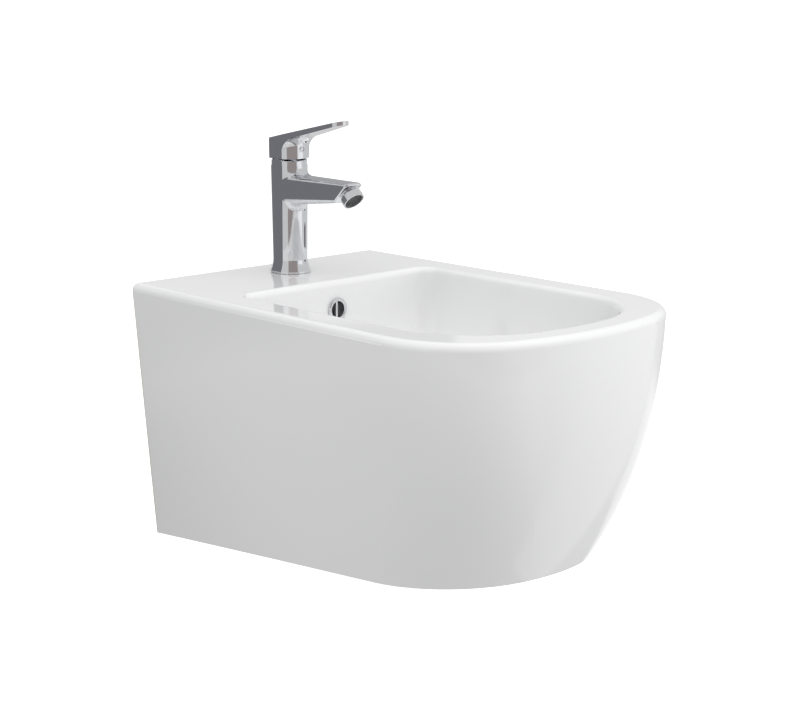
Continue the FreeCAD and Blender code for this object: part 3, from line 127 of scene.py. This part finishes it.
class ShaderTree:
    """Node tree of one material, around its Principled shader."""

    def __init__(self, name: str) -> None:
        """Start a material with a plain Principled shader.

        Args:
            name: Name of the material.
        """
        self.material = bpy.data.materials.new(name)
        self.material.use_nodes = True
        self.tree = self.material.node_tree
        self.shader = self.tree.nodes["Principled BSDF"]

    def node(self, kind: str, settings: Optional[dict] = None,
             inputs: Optional[dict] = None, output: Union[int, str] = 0) -> Value:
        """Add a node.

        Args:
            kind: Blender's name of the node type.
            settings: Properties of the node, set first.
            inputs: Socket to a value, a vector, a colour or a link.
            output: Socket that is handed back.

        Returns:
            The chosen output.
        """
        made = self.tree.nodes.new(kind)
        for key, setting in (settings or {}).items():
            setattr(made, key, setting)
        for key, value in (inputs or {}).items():
            self.feed(made.inputs[key], value)
        return Value(self, made.outputs[output])

    def feed(self, socket: bpy.types.NodeSocket, value: Input) -> None:
        """Link or set one input.

        Args:
            socket: The input.
            value: A link, a number, a vector or a colour.
        """
        if isinstance(value, Value):
            self.tree.links.new(value.socket, socket)
        elif socket.type == "RGBA":
            socket.default_value = (*value, 1.0)
        else:
            socket.default_value = value

    def principled(self, **inputs: Input) -> bpy.types.Material:
        """Feed the Principled shader.

        Args:
            inputs: Socket names, with underscores for spaces, and what feeds them.

        Returns:
            The finished material.
        """
        for key, value in inputs.items():
            self.feed(self.shader.inputs[key.replace("_", " ")], value)
        return self.material

    def place(self, stretch: Sequence[float] = (1.0, 1.0, 1.0)) -> Value:
        """Object coordinates.

        Args:
            stretch: Scale along each axis.

        Returns:
            The coordinates as a vector.
        """
        coordinates = self.node("ShaderNodeTexCoord", output="Object")
        return self.node("ShaderNodeMapping", inputs={"Vector": coordinates, "Scale": stretch})

    def noise(self, grain: float, detail: float = 2.0, stretch: Sequence[float] = (1.0, 1.0, 1.0)) -> Value:
        """Cloudy noise from 0 to 1.

        Args:
            grain: Size of a cloud in metres.
            detail: Number of finer layers.
            stretch: Scale along each axis.

        Returns:
            The noise.
        """
        sockets = {"Vector": self.place(stretch), "Scale": 1.0 / grain, "Detail": detail}
        return self.node("ShaderNodeTexNoise", inputs=sockets, output="Fac")

    def specks(self, grain: float) -> Value:
        """Distance from 0 to 1 to the nearest of many scattered points.

        Args:
            grain: Distance between points in metres.

        Returns:
            The distance.
        """
        sockets = {"Vector": self.place(), "Scale": 1.0 / grain}
        return self.node("ShaderNodeTexVoronoi", inputs=sockets, output="Distance")

    def ramp(self, value: Input, low: float, high: float) -> Value:
        """Smooth step from 0 to 1.

        Args:
            value: What is compared.
            low: Value at which the step starts.
            high: Value at which the step is done.

        Returns:
            The step.
        """
        sockets = {"Value": value, "From Min": low, "From Max": high}
        return self.node("ShaderNodeMapRange", {"interpolation_type": "SMOOTHSTEP"}, sockets)

    def along(self, axis: str) -> Value:
        """One object coordinate, by the name of its axis."""
        return self.node("ShaderNodeSeparateXYZ", inputs={0: self.place()}, output=axis)

    def mix(self, share: Input, first: Input, second: Input) -> Value:
        """Blend of two colours.

        Args:
            share: Share of the second colour.
            first: First colour.
            second: Second colour.

        Returns:
            The blended colour.
        """
        return self.node("ShaderNodeMix", {"data_type": "RGBA"}, {0: share, 6: first, 7: second}, output=2)

    def relief(self, height: Value, depth: float) -> Value:
        """Bumped normal.

        Args:
            height: Height from 0 to 1.
            depth: Depth of the relief in metres.

        Returns:
            The normal.
        """
        sockets = {"Height": height, "Distance": depth, "Strength": 1.0}
        return self.node("ShaderNodeBump", inputs=sockets, output="Normal")


# Finishes

@dataclass(frozen=True)
class Glaze:
    """White vitreous glaze with slow waves and a slight drift of the white, left off against the wall."""

    name: str = "white_glaze"
    white: Colour = (0.86, 0.86, 0.86)
    thick_white: Colour = (0.835, 0.84, 0.84)
    drift: float = 0.16
    wave: float = 0.045
    pinhole: float = 0.004
    wave_depth: float = 0.00012
    pinhole_share: float = 0.04
    gloss: float = 0.05
    gloss_drift: float = 0.05
    coat: float = 0.4
    coat_gloss: float = 0.03
    bare: Colour = (0.72, 0.69, 0.63)
    bare_from: float = -0.0025
    bare_wander: float = 0.002
    bare_roughness: float = 0.7

    def material(self) -> bpy.types.Material:
        """Build the material.

        Returns:
            The finished material.
        """
        tree = ShaderTree(self.name)
        drift = tree.noise(self.drift)
        wave = tree.noise(self.wave, detail=1.0)
        peel = tree.noise(self.pinhole, detail=1.0)
        edge = tree.along("Y") + self.bare_wander * (wave - 0.5)
        bare = tree.ramp(edge, self.bare_from, self.bare_from / 3)
        glazed = tree.mix(drift, self.white, self.thick_white)
        return tree.principled(
            Base_Color=tree.mix(bare, glazed, self.bare),
            Roughness=self.gloss + self.gloss_drift * tree.noise(self.wave) + self.bare_roughness * bare,
            Normal=tree.relief(wave + self.pinhole_share * peel, self.wave_depth),
            Coat_Weight=self.coat - self.coat * bare,
            Coat_Roughness=self.coat_gloss,
        )


@dataclass(frozen=True)
class Chrome:
    """Polished chrome plate over a cast or turned piece."""

    name: str
    bright: Colour = (0.80, 0.81, 0.83)
    shade: Colour = (0.74, 0.75, 0.775)
    haze: float = 0.006
    ripple: float = 0.012
    ripple_depth: float = 0.00001
    roughness: float = 0.035
    haze_roughness: float = 0.05

    def material(self) -> bpy.types.Material:
        """Build the material.

        Returns:
            The finished material.
        """
        tree = ShaderTree(self.name)
        haze = tree.noise(self.haze, detail=3.0)
        return tree.principled(
            Base_Color=tree.mix(haze, self.bright, self.shade),
            Metallic=1.0,
            Roughness=self.roughness + self.haze_roughness * haze ** 2.0,
            Normal=tree.relief(tree.noise(self.ripple, detail=1.0), self.ripple_depth),
        )


@dataclass(frozen=True)
class TurnedMetal:
    """Bare machined metal with tool marks round its axis and dull patches."""

    name: str
    bright: Colour
    dull: Colour
    patch: float = 0.006
    tool_mark: float = 0.0004
    mark_run: float = 0.1
    mark_depth: float = 0.00002
    roughness: float = 0.24
    patch_roughness: float = 0.25

    def material(self) -> bpy.types.Material:
        """Build the material.

        Returns:
            The finished material.
        """
        tree = ShaderTree(self.name)
        patch = tree.noise(self.patch, detail=4.0)
        marks = tree.noise(self.tool_mark, detail=1.0, stretch=(self.mark_run, self.mark_run, 1.0))
        return tree.principled(
            Base_Color=tree.mix(patch, self.bright, self.dull),
            Metallic=1.0,
            Roughness=self.roughness + self.patch_roughness * patch,
            Normal=tree.relief(marks, self.mark_depth),
        )


@dataclass(frozen=True)
class Moulded:
    """Moulded plastic or rubber with a fine grain and a slight mottle."""

    name: str
    base: Colour
    mottle: Colour
    roughness: float
    grain: float = 0.0007
    cloud: float = 0.008
    grain_depth: float = 0.00004
    grain_roughness: float = 0.15

    def material(self) -> bpy.types.Material:
        """Build the material.

        Returns:
            The finished material.
        """
        tree = ShaderTree(self.name)
        cloud = tree.noise(self.cloud, detail=3.0)
        grain = tree.noise(self.grain)
        return tree.principled(
            Base_Color=tree.mix(cloud, self.base, self.mottle),
            Roughness=self.roughness + self.grain_roughness * grain,
            Normal=tree.relief(grain, self.grain_depth),
        )


@dataclass(frozen=True)
class LappedCeramic:
    """Hard valve ceramic, lapped to a satin with fine specks."""

    name: str = "valve_ceramic"
    base: Colour = (0.82, 0.80, 0.75)
    speck: Colour = (0.70, 0.68, 0.63)
    speck_pitch: float = 0.0006
    roughness: float = 0.16
    speck_roughness: float = 0.1

    def material(self) -> bpy.types.Material:
        """Build the material.

        Returns:
            The finished material.
        """
        tree = ShaderTree(self.name)
        speck = tree.specks(self.speck_pitch) ** 2.0
        return tree.principled(
            Base_Color=tree.mix(speck, self.speck, self.base),
            Roughness=self.roughness + self.speck_roughness * speck,
        )


class Surface(Enum):
    """Finishes of the object, each with its recipe."""

    GLAZE = Glaze()
    TAP_CHROME = Chrome("tap_chrome")
    TRIM_CHROME = Chrome("trim_chrome", roughness=0.05)
    BRASS = TurnedMetal("turned_brass", (0.62, 0.46, 0.20), (0.45, 0.32, 0.14))
    ZINC = TurnedMetal("zinc_plate", (0.60, 0.61, 0.62), (0.44, 0.45, 0.44), roughness=0.3)
    STAINLESS = TurnedMetal("stainless", (0.60, 0.60, 0.60), (0.48, 0.48, 0.49))
    RUBBER = Moulded("black_rubber", (0.018, 0.018, 0.019), (0.030, 0.030, 0.031), 0.55)
    NYLON = Moulded("white_nylon", (0.78, 0.78, 0.75), (0.72, 0.72, 0.68), 0.38)
    CARTRIDGE = Moulded("cartridge_plastic", (0.70, 0.70, 0.67), (0.62, 0.62, 0.60), 0.34)
    SEAT = Moulded("seat_plastic", (0.045, 0.045, 0.05), (0.06, 0.06, 0.065), 0.36)
    SCREEN = Moulded("screen_plastic", (0.12, 0.12, 0.125), (0.16, 0.16, 0.165), 0.32)
    VALVE_CERAMIC = LappedCeramic()


class Palette:
    """Materials of the object, each built once."""

    def __init__(self) -> None:
        """Build every finish."""
        self.materials = {surface: surface.value.material() for surface in Surface}

    def dress(self, piece: bpy.types.Object, surface: Surface) -> None:
        """Give a piece one finish.

        Args:
            piece: A CAD node or a new piece.
            surface: The finish.
        """
        piece.data.materials.clear()
        piece.data.materials.append(self.materials[surface])
        LOG.info("%s: %s", piece.name, surface.name.lower())


# Mesh tools

class Body(Enum):
    """Bodies that carry new pieces."""

    PAN = "pan"
    LEVER = "lever"
    NOZZLE = "nozzle"


def link_object(name: str, bm: bmesh.types.BMesh) -> bpy.types.Object:
    """Turn a mesh in the making into an object of the scene.

    Args:
        name: Name of the object and its mesh.
        bm: The mesh, which is freed.

    Returns:
        The object.
    """
    mesh = bpy.data.meshes.new(name)
    bm.to_mesh(mesh)
    bm.free()
    made = bpy.data.objects.new(name, mesh)
    bpy.context.scene.collection.objects.link(made)
    return made


def join(bm: bmesh.types.BMesh, other: bmesh.types.BMesh) -> None:
    """Add one mesh in the making to another.

    Args:
        bm: Mesh to add to.
        other: Mesh that is added, which is freed.
    """
    carrier = bpy.data.meshes.new("carrier")
    other.to_mesh(carrier)
    other.free()
    bm.from_mesh(carrier)
    bpy.data.meshes.remove(carrier)


def add_piece(name: str, bm: bmesh.types.BMesh, body: Body) -> bpy.types.Object:
    """Turn a mesh in the making into a piece of the object.

    Args:
        name: Name of the piece.
        bm: The mesh, which is freed.
        body: Body that carries it.

    Returns:
        The piece.
    """
    bmesh.ops.remove_doubles(bm, verts=bm.verts, dist=WELD)
    bmesh.ops.recalc_face_normals(bm, faces=bm.faces)
    piece = link_object(name, bm)
    piece.data.shade_smooth()
    piece.data.set_sharp_from_angle(angle=math.radians(SHARP_ANGLE))
    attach(piece, body.value)
    return piece


def spun(bm: bmesh.types.BMesh, profile: Sequence[tuple[float, float]], steps: int) -> None:
    """Add a closed ring about Z.

    Args:
        bm: Mesh to add to.
        profile: Closed loop of (radius, height) points.
        steps: Number of facets round the axis.
    """
    verts = [bm.verts.new((radius, 0.0, height)) for radius, height in profile]
    edges = [bm.edges.new(pair) for pair in zip(verts, verts[1:] + verts[:1])]
    bmesh.ops.spin(bm, geom=verts + edges, cent=(0, 0, 0), axis=(0, 0, 1), angle=math.tau,
                   steps=steps, use_merge=True)


@dataclass
class Thread:
    """Helical ridge between two heights about an upright axis."""

    major: float
    depth: float
    pitch: float
    steps: int = 36
    crest: float = 0.16

    def mesh(self, low: float, high: float) -> bmesh.types.BMesh:
        """Make the ridge, cut off square at both ends.

        Args:
            low: Lower end.
            high: Upper end.

        Returns:
            The ridge about Z.
        """
        bm = bmesh.new()
        root = self.major - self.depth
        half = self.crest / 2
        shape = [(root, 0.0), (root, half), (self.major, 0.5 - half), (self.major, 0.5 + half),
                 (root, 1.0 - half), (root, 1.0)]
        first = low - self.pitch
        verts = [bm.verts.new((radius, 0.0, first + share * self.pitch)) for radius, share in shape]
        edges = [bm.edges.new(pair) for pair in zip(verts, verts[1:])]
        turns = math.ceil((high - first) / self.pitch)
        bmesh.ops.spin(bm, geom=verts + edges, cent=(0, 0, 0), axis=(0, 0, 1), angle=math.tau * turns,
                       dvec=(0, 0, self.pitch / self.steps), steps=self.steps * turns)
        bmesh.ops.remove_doubles(bm, verts=bm.verts, dist=WELD)
        for height, way in ((low, -1.0), (high, 1.0)):
            geometry = bm.verts[:] + bm.edges[:] + bm.faces[:]
            bmesh.ops.bisect_plane(bm, geom=geometry, plane_co=(0, 0, height), plane_no=(0, 0, way),
                                   clear_outer=True)
        return bm


# Sub-assemblies

class SubAssembly:
    """Pieces that belong together: CAD nodes with their finishes, and new pieces beside them."""

    def finishes(self) -> dict[str, Surface]:
        """Finish of each CAD node that is shown as it is."""
        raise NotImplementedError

    def add_pieces(self, palette: Palette) -> None:
        """Add the pieces that the CAD nodes don't show.

        Args:
            palette: The object's materials.
        """

    def build(self, palette: Palette) -> None:
        """Dress the nodes and add the new pieces.

        Args:
            palette: The object's materials.
        """
        for node, surface in self.finishes().items():
            palette.dress(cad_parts[node], surface)
        self.add_pieces(palette)


class CeramicBody(SubAssembly):
    """The fired body, its overflow trim and what holds it to the wall."""

    def finishes(self) -> dict[str, Surface]:
        """Finish of each CAD node that is shown as it is."""
        return {"ceramic_body": Surface.GLAZE, "overflow_ring": Surface.TRIM_CHROME,
                "wall_sleeves": Surface.NYLON, "wall_washers": Surface.ZINC, "wall_nuts": Surface.ZINC}


@dataclass
class TapBody(SubAssembly):
    """The casting, its trim ring and the clamp under the deck, with a threaded stud."""

    stud_thread: Thread = field(default_factory=lambda: Thread(4.0 * MM, 0.7 * MM, 1.25 * MM))
    stud_tip: float = 0.6 * MM

    def finishes(self) -> dict[str, Surface]:
        """Finish of each CAD node that is shown as it is."""
        return {"tap_body": Surface.TAP_CHROME, "cover_ring": Surface.TRIM_CHROME,
                "base_gasket": Surface.RUBBER, "horseshoe_gasket": Surface.RUBBER,
                "horseshoe_clamp": Surface.ZINC, "clamp_nut": Surface.BRASS}

    def add_pieces(self, palette: Palette) -> None:
        """Add the threaded stud in place of the plain one.

        Args:
            palette: The object's materials.
        """
        low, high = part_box("fixing_stud")
        thread = self.stud_thread
        bm = thread.mesh(low[2] + self.stud_tip, high[2])
        core = thread.major - thread.depth
        made = bmesh.ops.create_cone(bm, cap_ends=True, segments=thread.steps, radius1=core, radius2=core,
                                     depth=high[2] - low[2])
        bmesh.ops.translate(bm, verts=made["verts"], vec=(0, 0, (low[2] + high[2]) / 2))
        tip = [edge for edge in bm.edges if all(vert.co.z < low[2] + NEAR for vert in edge.verts)]
        bmesh.ops.bevel(bm, geom=tip, offset=self.stud_tip, offset_type="OFFSET", segments=2, profile=0.5,
                        affect="EDGES", material=-1)
        bmesh.ops.translate(bm, verts=bm.verts, vec=((low[0] + high[0]) / 2, (low[1] + high[1]) / 2, 0))
        stud = add_piece("threaded_stud", bm, Body.PAN)
        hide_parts("fixing_stud")
        palette.dress(stud, Surface.BRASS)


class Cartridge(SubAssembly):
    """Everything in the valve cartridge and the ring that clamps it."""

    def finishes(self) -> dict[str, Surface]:
        """Finish of each CAD node that is shown as it is.

        Returns:
            Node name to finish.
        """
        plastic = ("cartridge_base", "disc_carrier", "cartridge_housing", "cartridge_rotor")
        nodes = {node: Surface.CARTRIDGE for node in plastic}
        nodes.update({"cartridge_seal": Surface.RUBBER, "fixed_disc": Surface.VALVE_CERAMIC,
                      "moving_disc": Surface.VALVE_CERAMIC, "pivot_pin": Surface.STAINLESS,
                      "lever_stem": Surface.BRASS, "clamp_ring": Surface.BRASS})
        return nodes


@dataclass
class LeverHandle(SubAssembly):
    """The handle with its index plug and grub screw."""

    index_place: tuple[float, float, float] = (0.0, -0.07841, 0.2308)
    index_radius: float = 3.55 * MM
    index_proud: float = 0.75 * MM
    index_ring: float = 0.7 * MM
    index_groove: float = 0.6 * MM
    shank_radius: float = 2.55 * MM
    shank_length: float = 3.0 * MM
    dome_steps: tuple[float, ...] = (0.85, 0.7, 0.45, 0.2, 0.0)
    steps: int = 48

    def finishes(self) -> dict[str, Surface]:
        """Finish of each CAD node that is shown as it is."""
        return {"lever_handle": Surface.TAP_CHROME, "grub_screw": Surface.STAINLESS}

    def add_pieces(self, palette: Palette) -> None:
        """Add an index plug with a ring and a domed middle in place of the plain one.

        Args:
            palette: The object's materials.
        """
        radius, proud = self.index_radius, self.index_proud
        crown = radius - self.index_ring
        edge = self.index_ring / 4
        low = proud - self.index_groove
        shank = [(0.0, -self.shank_length), (self.shank_radius, -self.shank_length), (self.shank_radius, 0.0)]
        ring = [(radius, 0.0), (radius, proud - edge), (radius - edge, proud), (crown + edge, proud),
                (crown, low)]
        dome = [(crown * share, low + self.index_groove * (1 - share ** 2)) for share in self.dome_steps]
        bm = bmesh.new()
        spun(bm, shank + ring + dome, self.steps)
        place = Matrix.Translation(self.index_place) @ Matrix.Rotation(math.radians(90), 4, "X")
        bmesh.ops.transform(bm, matrix=place, verts=bm.verts)
        plug = add_piece("domed_index", bm, Body.LEVER)
        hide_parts("index_plug")
        palette.dress(plug, Surface.TRIM_CHROME)


@dataclass
class Outlet(SubAssembly):
    """The ball-joint outlet, with a net in the nozzle."""

    mouth: tuple[float, float, float] = (0.0, -0.1568, 0.1887)
    tilt: float = 45.0
    radius: float = 10.65 * MM
    rim: float = 1.0 * MM
    back: float = 5.0 * MM
    front: float = 10.9 * MM
    cells: int = 17
    bar: float = 0.17 * MM
    net_depths: tuple[float, float] = (10.0 * MM, 8.8 * MM)
    net_turns: tuple[float, float] = (0.0, 45.0)
    net_thickness: float = 0.5 * MM
    steps: int = 64

    def finishes(self) -> dict[str, Surface]:
        """Finish of each CAD node that is shown as it is."""
        return {"swivel_seat": Surface.SEAT, "swivel_ball": Surface.TRIM_CHROME,
                "swivel_collar": Surface.TRIM_CHROME, "nozzle_shell": Surface.TRIM_CHROME}

    def net(self, bm: bmesh.types.BMesh, along: float, turn: float) -> None:
        """Add one round net of square holes.

        Args:
            bm: Mesh to add to.
            along: Place of the net along the nozzle.
            turn: Angle of its bars in degrees.
        """
        sheet = bmesh.new()
        bmesh.ops.create_grid(sheet, x_segments=self.cells, y_segments=self.cells, size=self.radius)
        holes = sheet.faces[:]
        bmesh.ops.inset_individual(sheet, faces=holes, thickness=self.bar)
        reach = self.radius - self.rim / 2
        outside = [face for face in sheet.faces if face.calc_center_median().length > reach]
        bmesh.ops.delete(sheet, geom=list(set(holes) | set(outside)), context="FACES")
        bmesh.ops.solidify(sheet, geom=sheet.faces[:], thickness=self.net_thickness)
        bmesh.ops.rotate(sheet, verts=sheet.verts, matrix=Matrix.Rotation(math.radians(turn), 3, "Z"))
        bmesh.ops.translate(sheet, verts=sheet.verts, vec=(0, 0, along))
        join(bm, sheet)

    def add_pieces(self, palette: Palette) -> None:
        """Add the aerator's ring and nets in place of the plain insert.

        Args:
            palette: The object's materials.
        """
        bm = bmesh.new()
        radius, front = self.radius, self.front
        inner = radius - self.rim
        edge = self.rim / 3
        ring = [(inner, self.back), (radius, self.back), (radius, front - edge), (radius - edge, front),
                (inner + edge, front), (inner, front - edge)]
        spun(bm, ring, self.steps)
        for along, turn in zip(self.net_depths, self.net_turns):
            self.net(bm, along, turn)
        place = Matrix.Translation(self.mouth) @ Matrix.Rotation(math.radians(180 - self.tilt), 4, "X")
        bmesh.ops.transform(bm, matrix=place, verts=bm.verts)
        screen = add_piece("aerator_screen", bm, Body.NOZZLE)
        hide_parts("aerator_insert")
        palette.dress(screen, Surface.SCREEN)


@dataclass
class Waste(SubAssembly):
    """The slotted waste with its thread for the trap, and the push plug in it."""

    tail: float = 25.0 * MM
    thread: Thread = field(default_factory=lambda: Thread(20.9 * MM, 0.8 * MM, 2.309 * MM, 96))
    lead_in: float = 1.2 * MM

    def finishes(self) -> dict[str, Surface]:
        """Finish of each CAD node that is shown as it is."""
        return {"flange_gasket": Surface.RUBBER, "lower_gasket": Surface.RUBBER, "back_nut": Surface.BRASS,
                "plug_cap": Surface.TRIM_CHROME, "plug_seal": Surface.RUBBER, "plug_stem": Surface.BRASS,
                "plug_latch": Surface.CARTRIDGE, "plug_spring": Surface.STAINLESS}

    def add_pieces(self, palette: Palette) -> None:
        """Add a waste whose tail carries a thread, in place of the plain one.

        Args:
            palette: The object's materials.
        """
        low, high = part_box("waste_body")
        middle = Vector(((low[0] + high[0]) / 2, (low[1] + high[1]) / 2, 0))
        root = self.thread.major - self.thread.depth
        bm = bmesh.new()
        bm.from_mesh(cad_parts["waste_body"].data)
        bmesh.ops.remove_doubles(bm, verts=bm.verts, dist=WELD)
        bmesh.ops.translate(bm, verts=bm.verts, vec=-middle)
        for vert in bm.verts:
            reach = vert.co.xy.length
            if vert.co.z < low[2] + self.tail + NEAR and abs(reach - self.thread.major) < 10 * NEAR:
                vert.co.xy *= root / reach
        join(bm, self.thread.mesh(low[2] + self.lead_in, low[2] + self.tail))
        bmesh.ops.translate(bm, verts=bm.verts, vec=middle)
        body = add_piece("threaded_waste", bm, Body.PAN)
        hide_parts("waste_body")
        palette.dress(body, Surface.TRIM_CHROME)


# Studio

@dataclass
class Board:
    """An upright board of the set, off the object and unseen by the camera.

    It mirrors in chrome and glaze, or it shades what is dull.
    """

    name: str
    bearing: float
    spread: float
    distance: float
    low: float
    high: float
    colour: Colour
    soft: float = 0.02
    shades: bool = False
    centre: tuple[float, float, float] = (0.0, -0.056, 0.0)

    def size(self) -> tuple[float, float]:
        """Width and height in metres."""
        return 2 * self.distance * math.tan(math.radians(self.spread / 2)), self.high - self.low

    def mesh(self) -> bmesh.types.BMesh:
        """Make the board's face, with its distances from two edges in metres as UV.

        Returns:
            The face in its place.
        """
        width, height = self.size()
        bm = bmesh.new()
        inward = bm.loops.layers.uv.new("inward")
        corners = [(0.0, 0.0), (width, 0.0), (width, height), (0.0, height)]
        face = bm.faces.new([bm.verts.new((x - width / 2, self.distance, self.low + z)) for x, z in corners])
        for loop, corner in zip(face.loops, corners):
            loop[inward].uv = corner
        turn = Matrix.Rotation(math.radians(self.bearing - 90), 3, "Z")
        bmesh.ops.rotate(bm, verts=bm.verts, matrix=turn)
        bmesh.ops.translate(bm, verts=bm.verts, vec=self.centre)
        return bm

    def material(self) -> bpy.types.Material:
        """Make a glowing finish that fades out towards the edges.

        Returns:
            The finished material.
        """
        tree = ShaderTree(self.name)
        inward = tree.node("ShaderNodeUVMap", {"uv_map": "inward"})
        solid = 1.0
        for axis, size in zip("XY", self.size()):
            place = tree.node("ShaderNodeSeparateXYZ", inputs={0: inward}, output=axis)
            solid = solid * tree.ramp(place, 0.0, self.soft) * tree.ramp(size - place, 0.0, self.soft)
        return tree.principled(Base_Color=(0.0, 0.0, 0.0), Roughness=1.0, Specular_IOR_Level=0.0,
                               Emission_Color=self.colour, Emission_Strength=1.0, Alpha=solid)

    def build(self) -> None:
        """Put up the board."""
        board = link_object(self.name, self.mesh())
        board.data.materials.append(self.material())
        board.visible_camera = False
        board.visible_diffuse = self.shades
        board.visible_glossy = not self.shades
        board.visible_shadow = False


@dataclass
class Panel:
    """A square soft light that mirrors in nothing."""

    name: str
    place: tuple[float, float, float]
    size: float
    power: float

    def build(self, aim: Sequence[float]) -> None:
        """Hang the light.

        Args:
            aim: Point that it faces.
        """
        data = bpy.data.lights.new(self.name, "AREA")
        data.size = self.size
        data.energy = self.power
        light = bpy.data.objects.new(self.name, data)
        light.location = self.place
        light.rotation_euler = (Vector(aim) - light.location).to_track_quat("-Z", "Y").to_euler()
        light.visible_glossy = False
        bpy.context.scene.collection.objects.link(light)


@dataclass
class Studio:
    """Floor, light and camera of the product photograph."""

    image: tuple[int, int] = (800, 710)
    camera_place: tuple[float, float, float] = (-1.3851, -1.71655, 0.45134)
    camera_yaw: float = 43.1365
    camera_pitch: float = -11.998
    lens: float = 86.402
    sensor: float = 36.0
    floor_drop: float = 0.10
    floor_half: float = 40.0
    floor_white: Colour = (0.90, 0.90, 0.90)
    floor_shade: Colour = (0.88, 0.88, 0.88)
    floor_cloud: float = 0.9
    floor_roughness: float = 0.9
    floor_glow: float = 0.7
    sky: float = 0.67
    aim: tuple[float, float, float] = (0.0, -0.3, -0.05)

    def build(self) -> None:
        """Set up the whole studio."""
        self.build_camera()
        self.build_floor()
        self.build_sky()
        for board in self.boards():
            board.build()
        for panel in self.panels():
            panel.build(self.aim)

    def panels(self) -> list[Panel]:
        """Soft lights of the set.

        Returns:
            One low on the right for the front, and one overhead for the deck and the bowl.
        """
        return [
            Panel("front_panel", (1.9, -2.0, 0.15), 2.0, 20.5),
            Panel("top_panel", (-0.6, -1.3, 2.4), 4.0, 55.0),
        ]

    def boards(self) -> list[Board]:
        """Boards of the set.

        Returns:
            Those that mirror in the tap and in the skirt's far edge, then those that shade the skirt.
        """
        corner = (-0.10, -0.42, 0.0)
        far_edge = (0.15, -0.45, 0.0)
        return [
            Board("dark_board", 133.0, 76.0, 0.42, -0.13, 0.60, (0.19, 0.19, 0.205), soft=0.11),
            Board("warm_board", 247.0, 62.0, 0.75, -0.06, 1.30, (0.34, 0.30, 0.29), soft=0.03),
            Board("right_white", 299.0, 40.0, 0.70, -0.90, 0.28, (1.0, 1.0, 1.0), soft=0.10),
            Board("black_board", 341.0, 16.0, 0.30, 0.03, 0.106, (0.05, 0.05, 0.05), soft=0.01),
            Board("grey_board", 48.0, 80.0, 0.25, 0.19, 0.50, (0.40, 0.40, 0.41)),
            Board("edge_board", 22.0, 70.0, 0.60, -0.60, -0.12, (1.1, 1.1, 1.1), soft=0.10,
                  centre=far_edge),
            Board("shade_board", 160.0, 60.0, 0.30, -0.6, 0.02, (0.42, 0.42, 0.42), soft=0.08, shades=True),
            Board("low_shade", 185.0, 80.0, 0.55, -0.75, -0.30, (0.46, 0.46, 0.46), soft=0.08, shades=True),
            Board("corner_shade", 227.0, 60.0, 0.40, -0.30, 0.15, (0.34, 0.34, 0.34), soft=0.08, shades=True,
                  centre=corner),
        ]

    def build_camera(self) -> None:
        """Put the camera where the photograph was taken from."""
        data = bpy.data.cameras.new("photo_camera")
        data.sensor_fit = "HORIZONTAL"
        data.sensor_width = self.sensor
        data.lens = self.lens
        data.clip_end = 4 * self.floor_half
        camera = bpy.data.objects.new("photo_camera", data)
        camera.location = self.camera_place
        camera.rotation_euler = (math.radians(90 + self.camera_pitch), 0.0, -math.radians(self.camera_yaw))
        bpy.context.scene.collection.objects.link(camera)
        bpy.context.scene.camera = camera

    def build_floor(self) -> None:
        """Lay a pale floor well below the hanging body."""
        bm = bmesh.new()
        bmesh.ops.create_grid(bm, x_segments=1, y_segments=1, size=self.floor_half)
        low = CAD_BOX[0][2] - self.floor_drop
        bmesh.ops.translate(bm, verts=bm.verts, vec=(0.0, 0.0, low))
        floor = link_object("floor", bm)
        tree = ShaderTree("pale_floor")
        pale = tree.mix(tree.noise(self.floor_cloud), self.floor_white, self.floor_shade)
        floor.data.materials.append(tree.principled(
            Base_Color=pale, Roughness=self.floor_roughness,
            Emission_Color=(1.0, 1.0, 1.0), Emission_Strength=self.floor_glow))
        floor.visible_diffuse = False
        floor.visible_glossy = False

    def build_sky(self) -> None:
        """Even white surroundings."""
        scene = bpy.context.scene
        scene.view_settings.view_transform = "Standard"
        world = bpy.data.worlds.new("white_room")
        world.use_nodes = True
        background = world.node_tree.nodes["Background"]
        background.inputs["Color"].default_value = (1.0, 1.0, 1.0, 1.0)
        background.inputs["Strength"].default_value = self.sky
        scene.world = world


def main() -> None:
    """Dress the whole bidet and light it."""
    logging.basicConfig(level=logging.INFO, format="%(message)s")
    palette = Palette()
    for part in (CeramicBody(), TapBody(), Cartridge(), LeverHandle(), Outlet(), Waste()):
        part.build(palette)
    Studio().build()


if __name__ == "__main__":
    main()
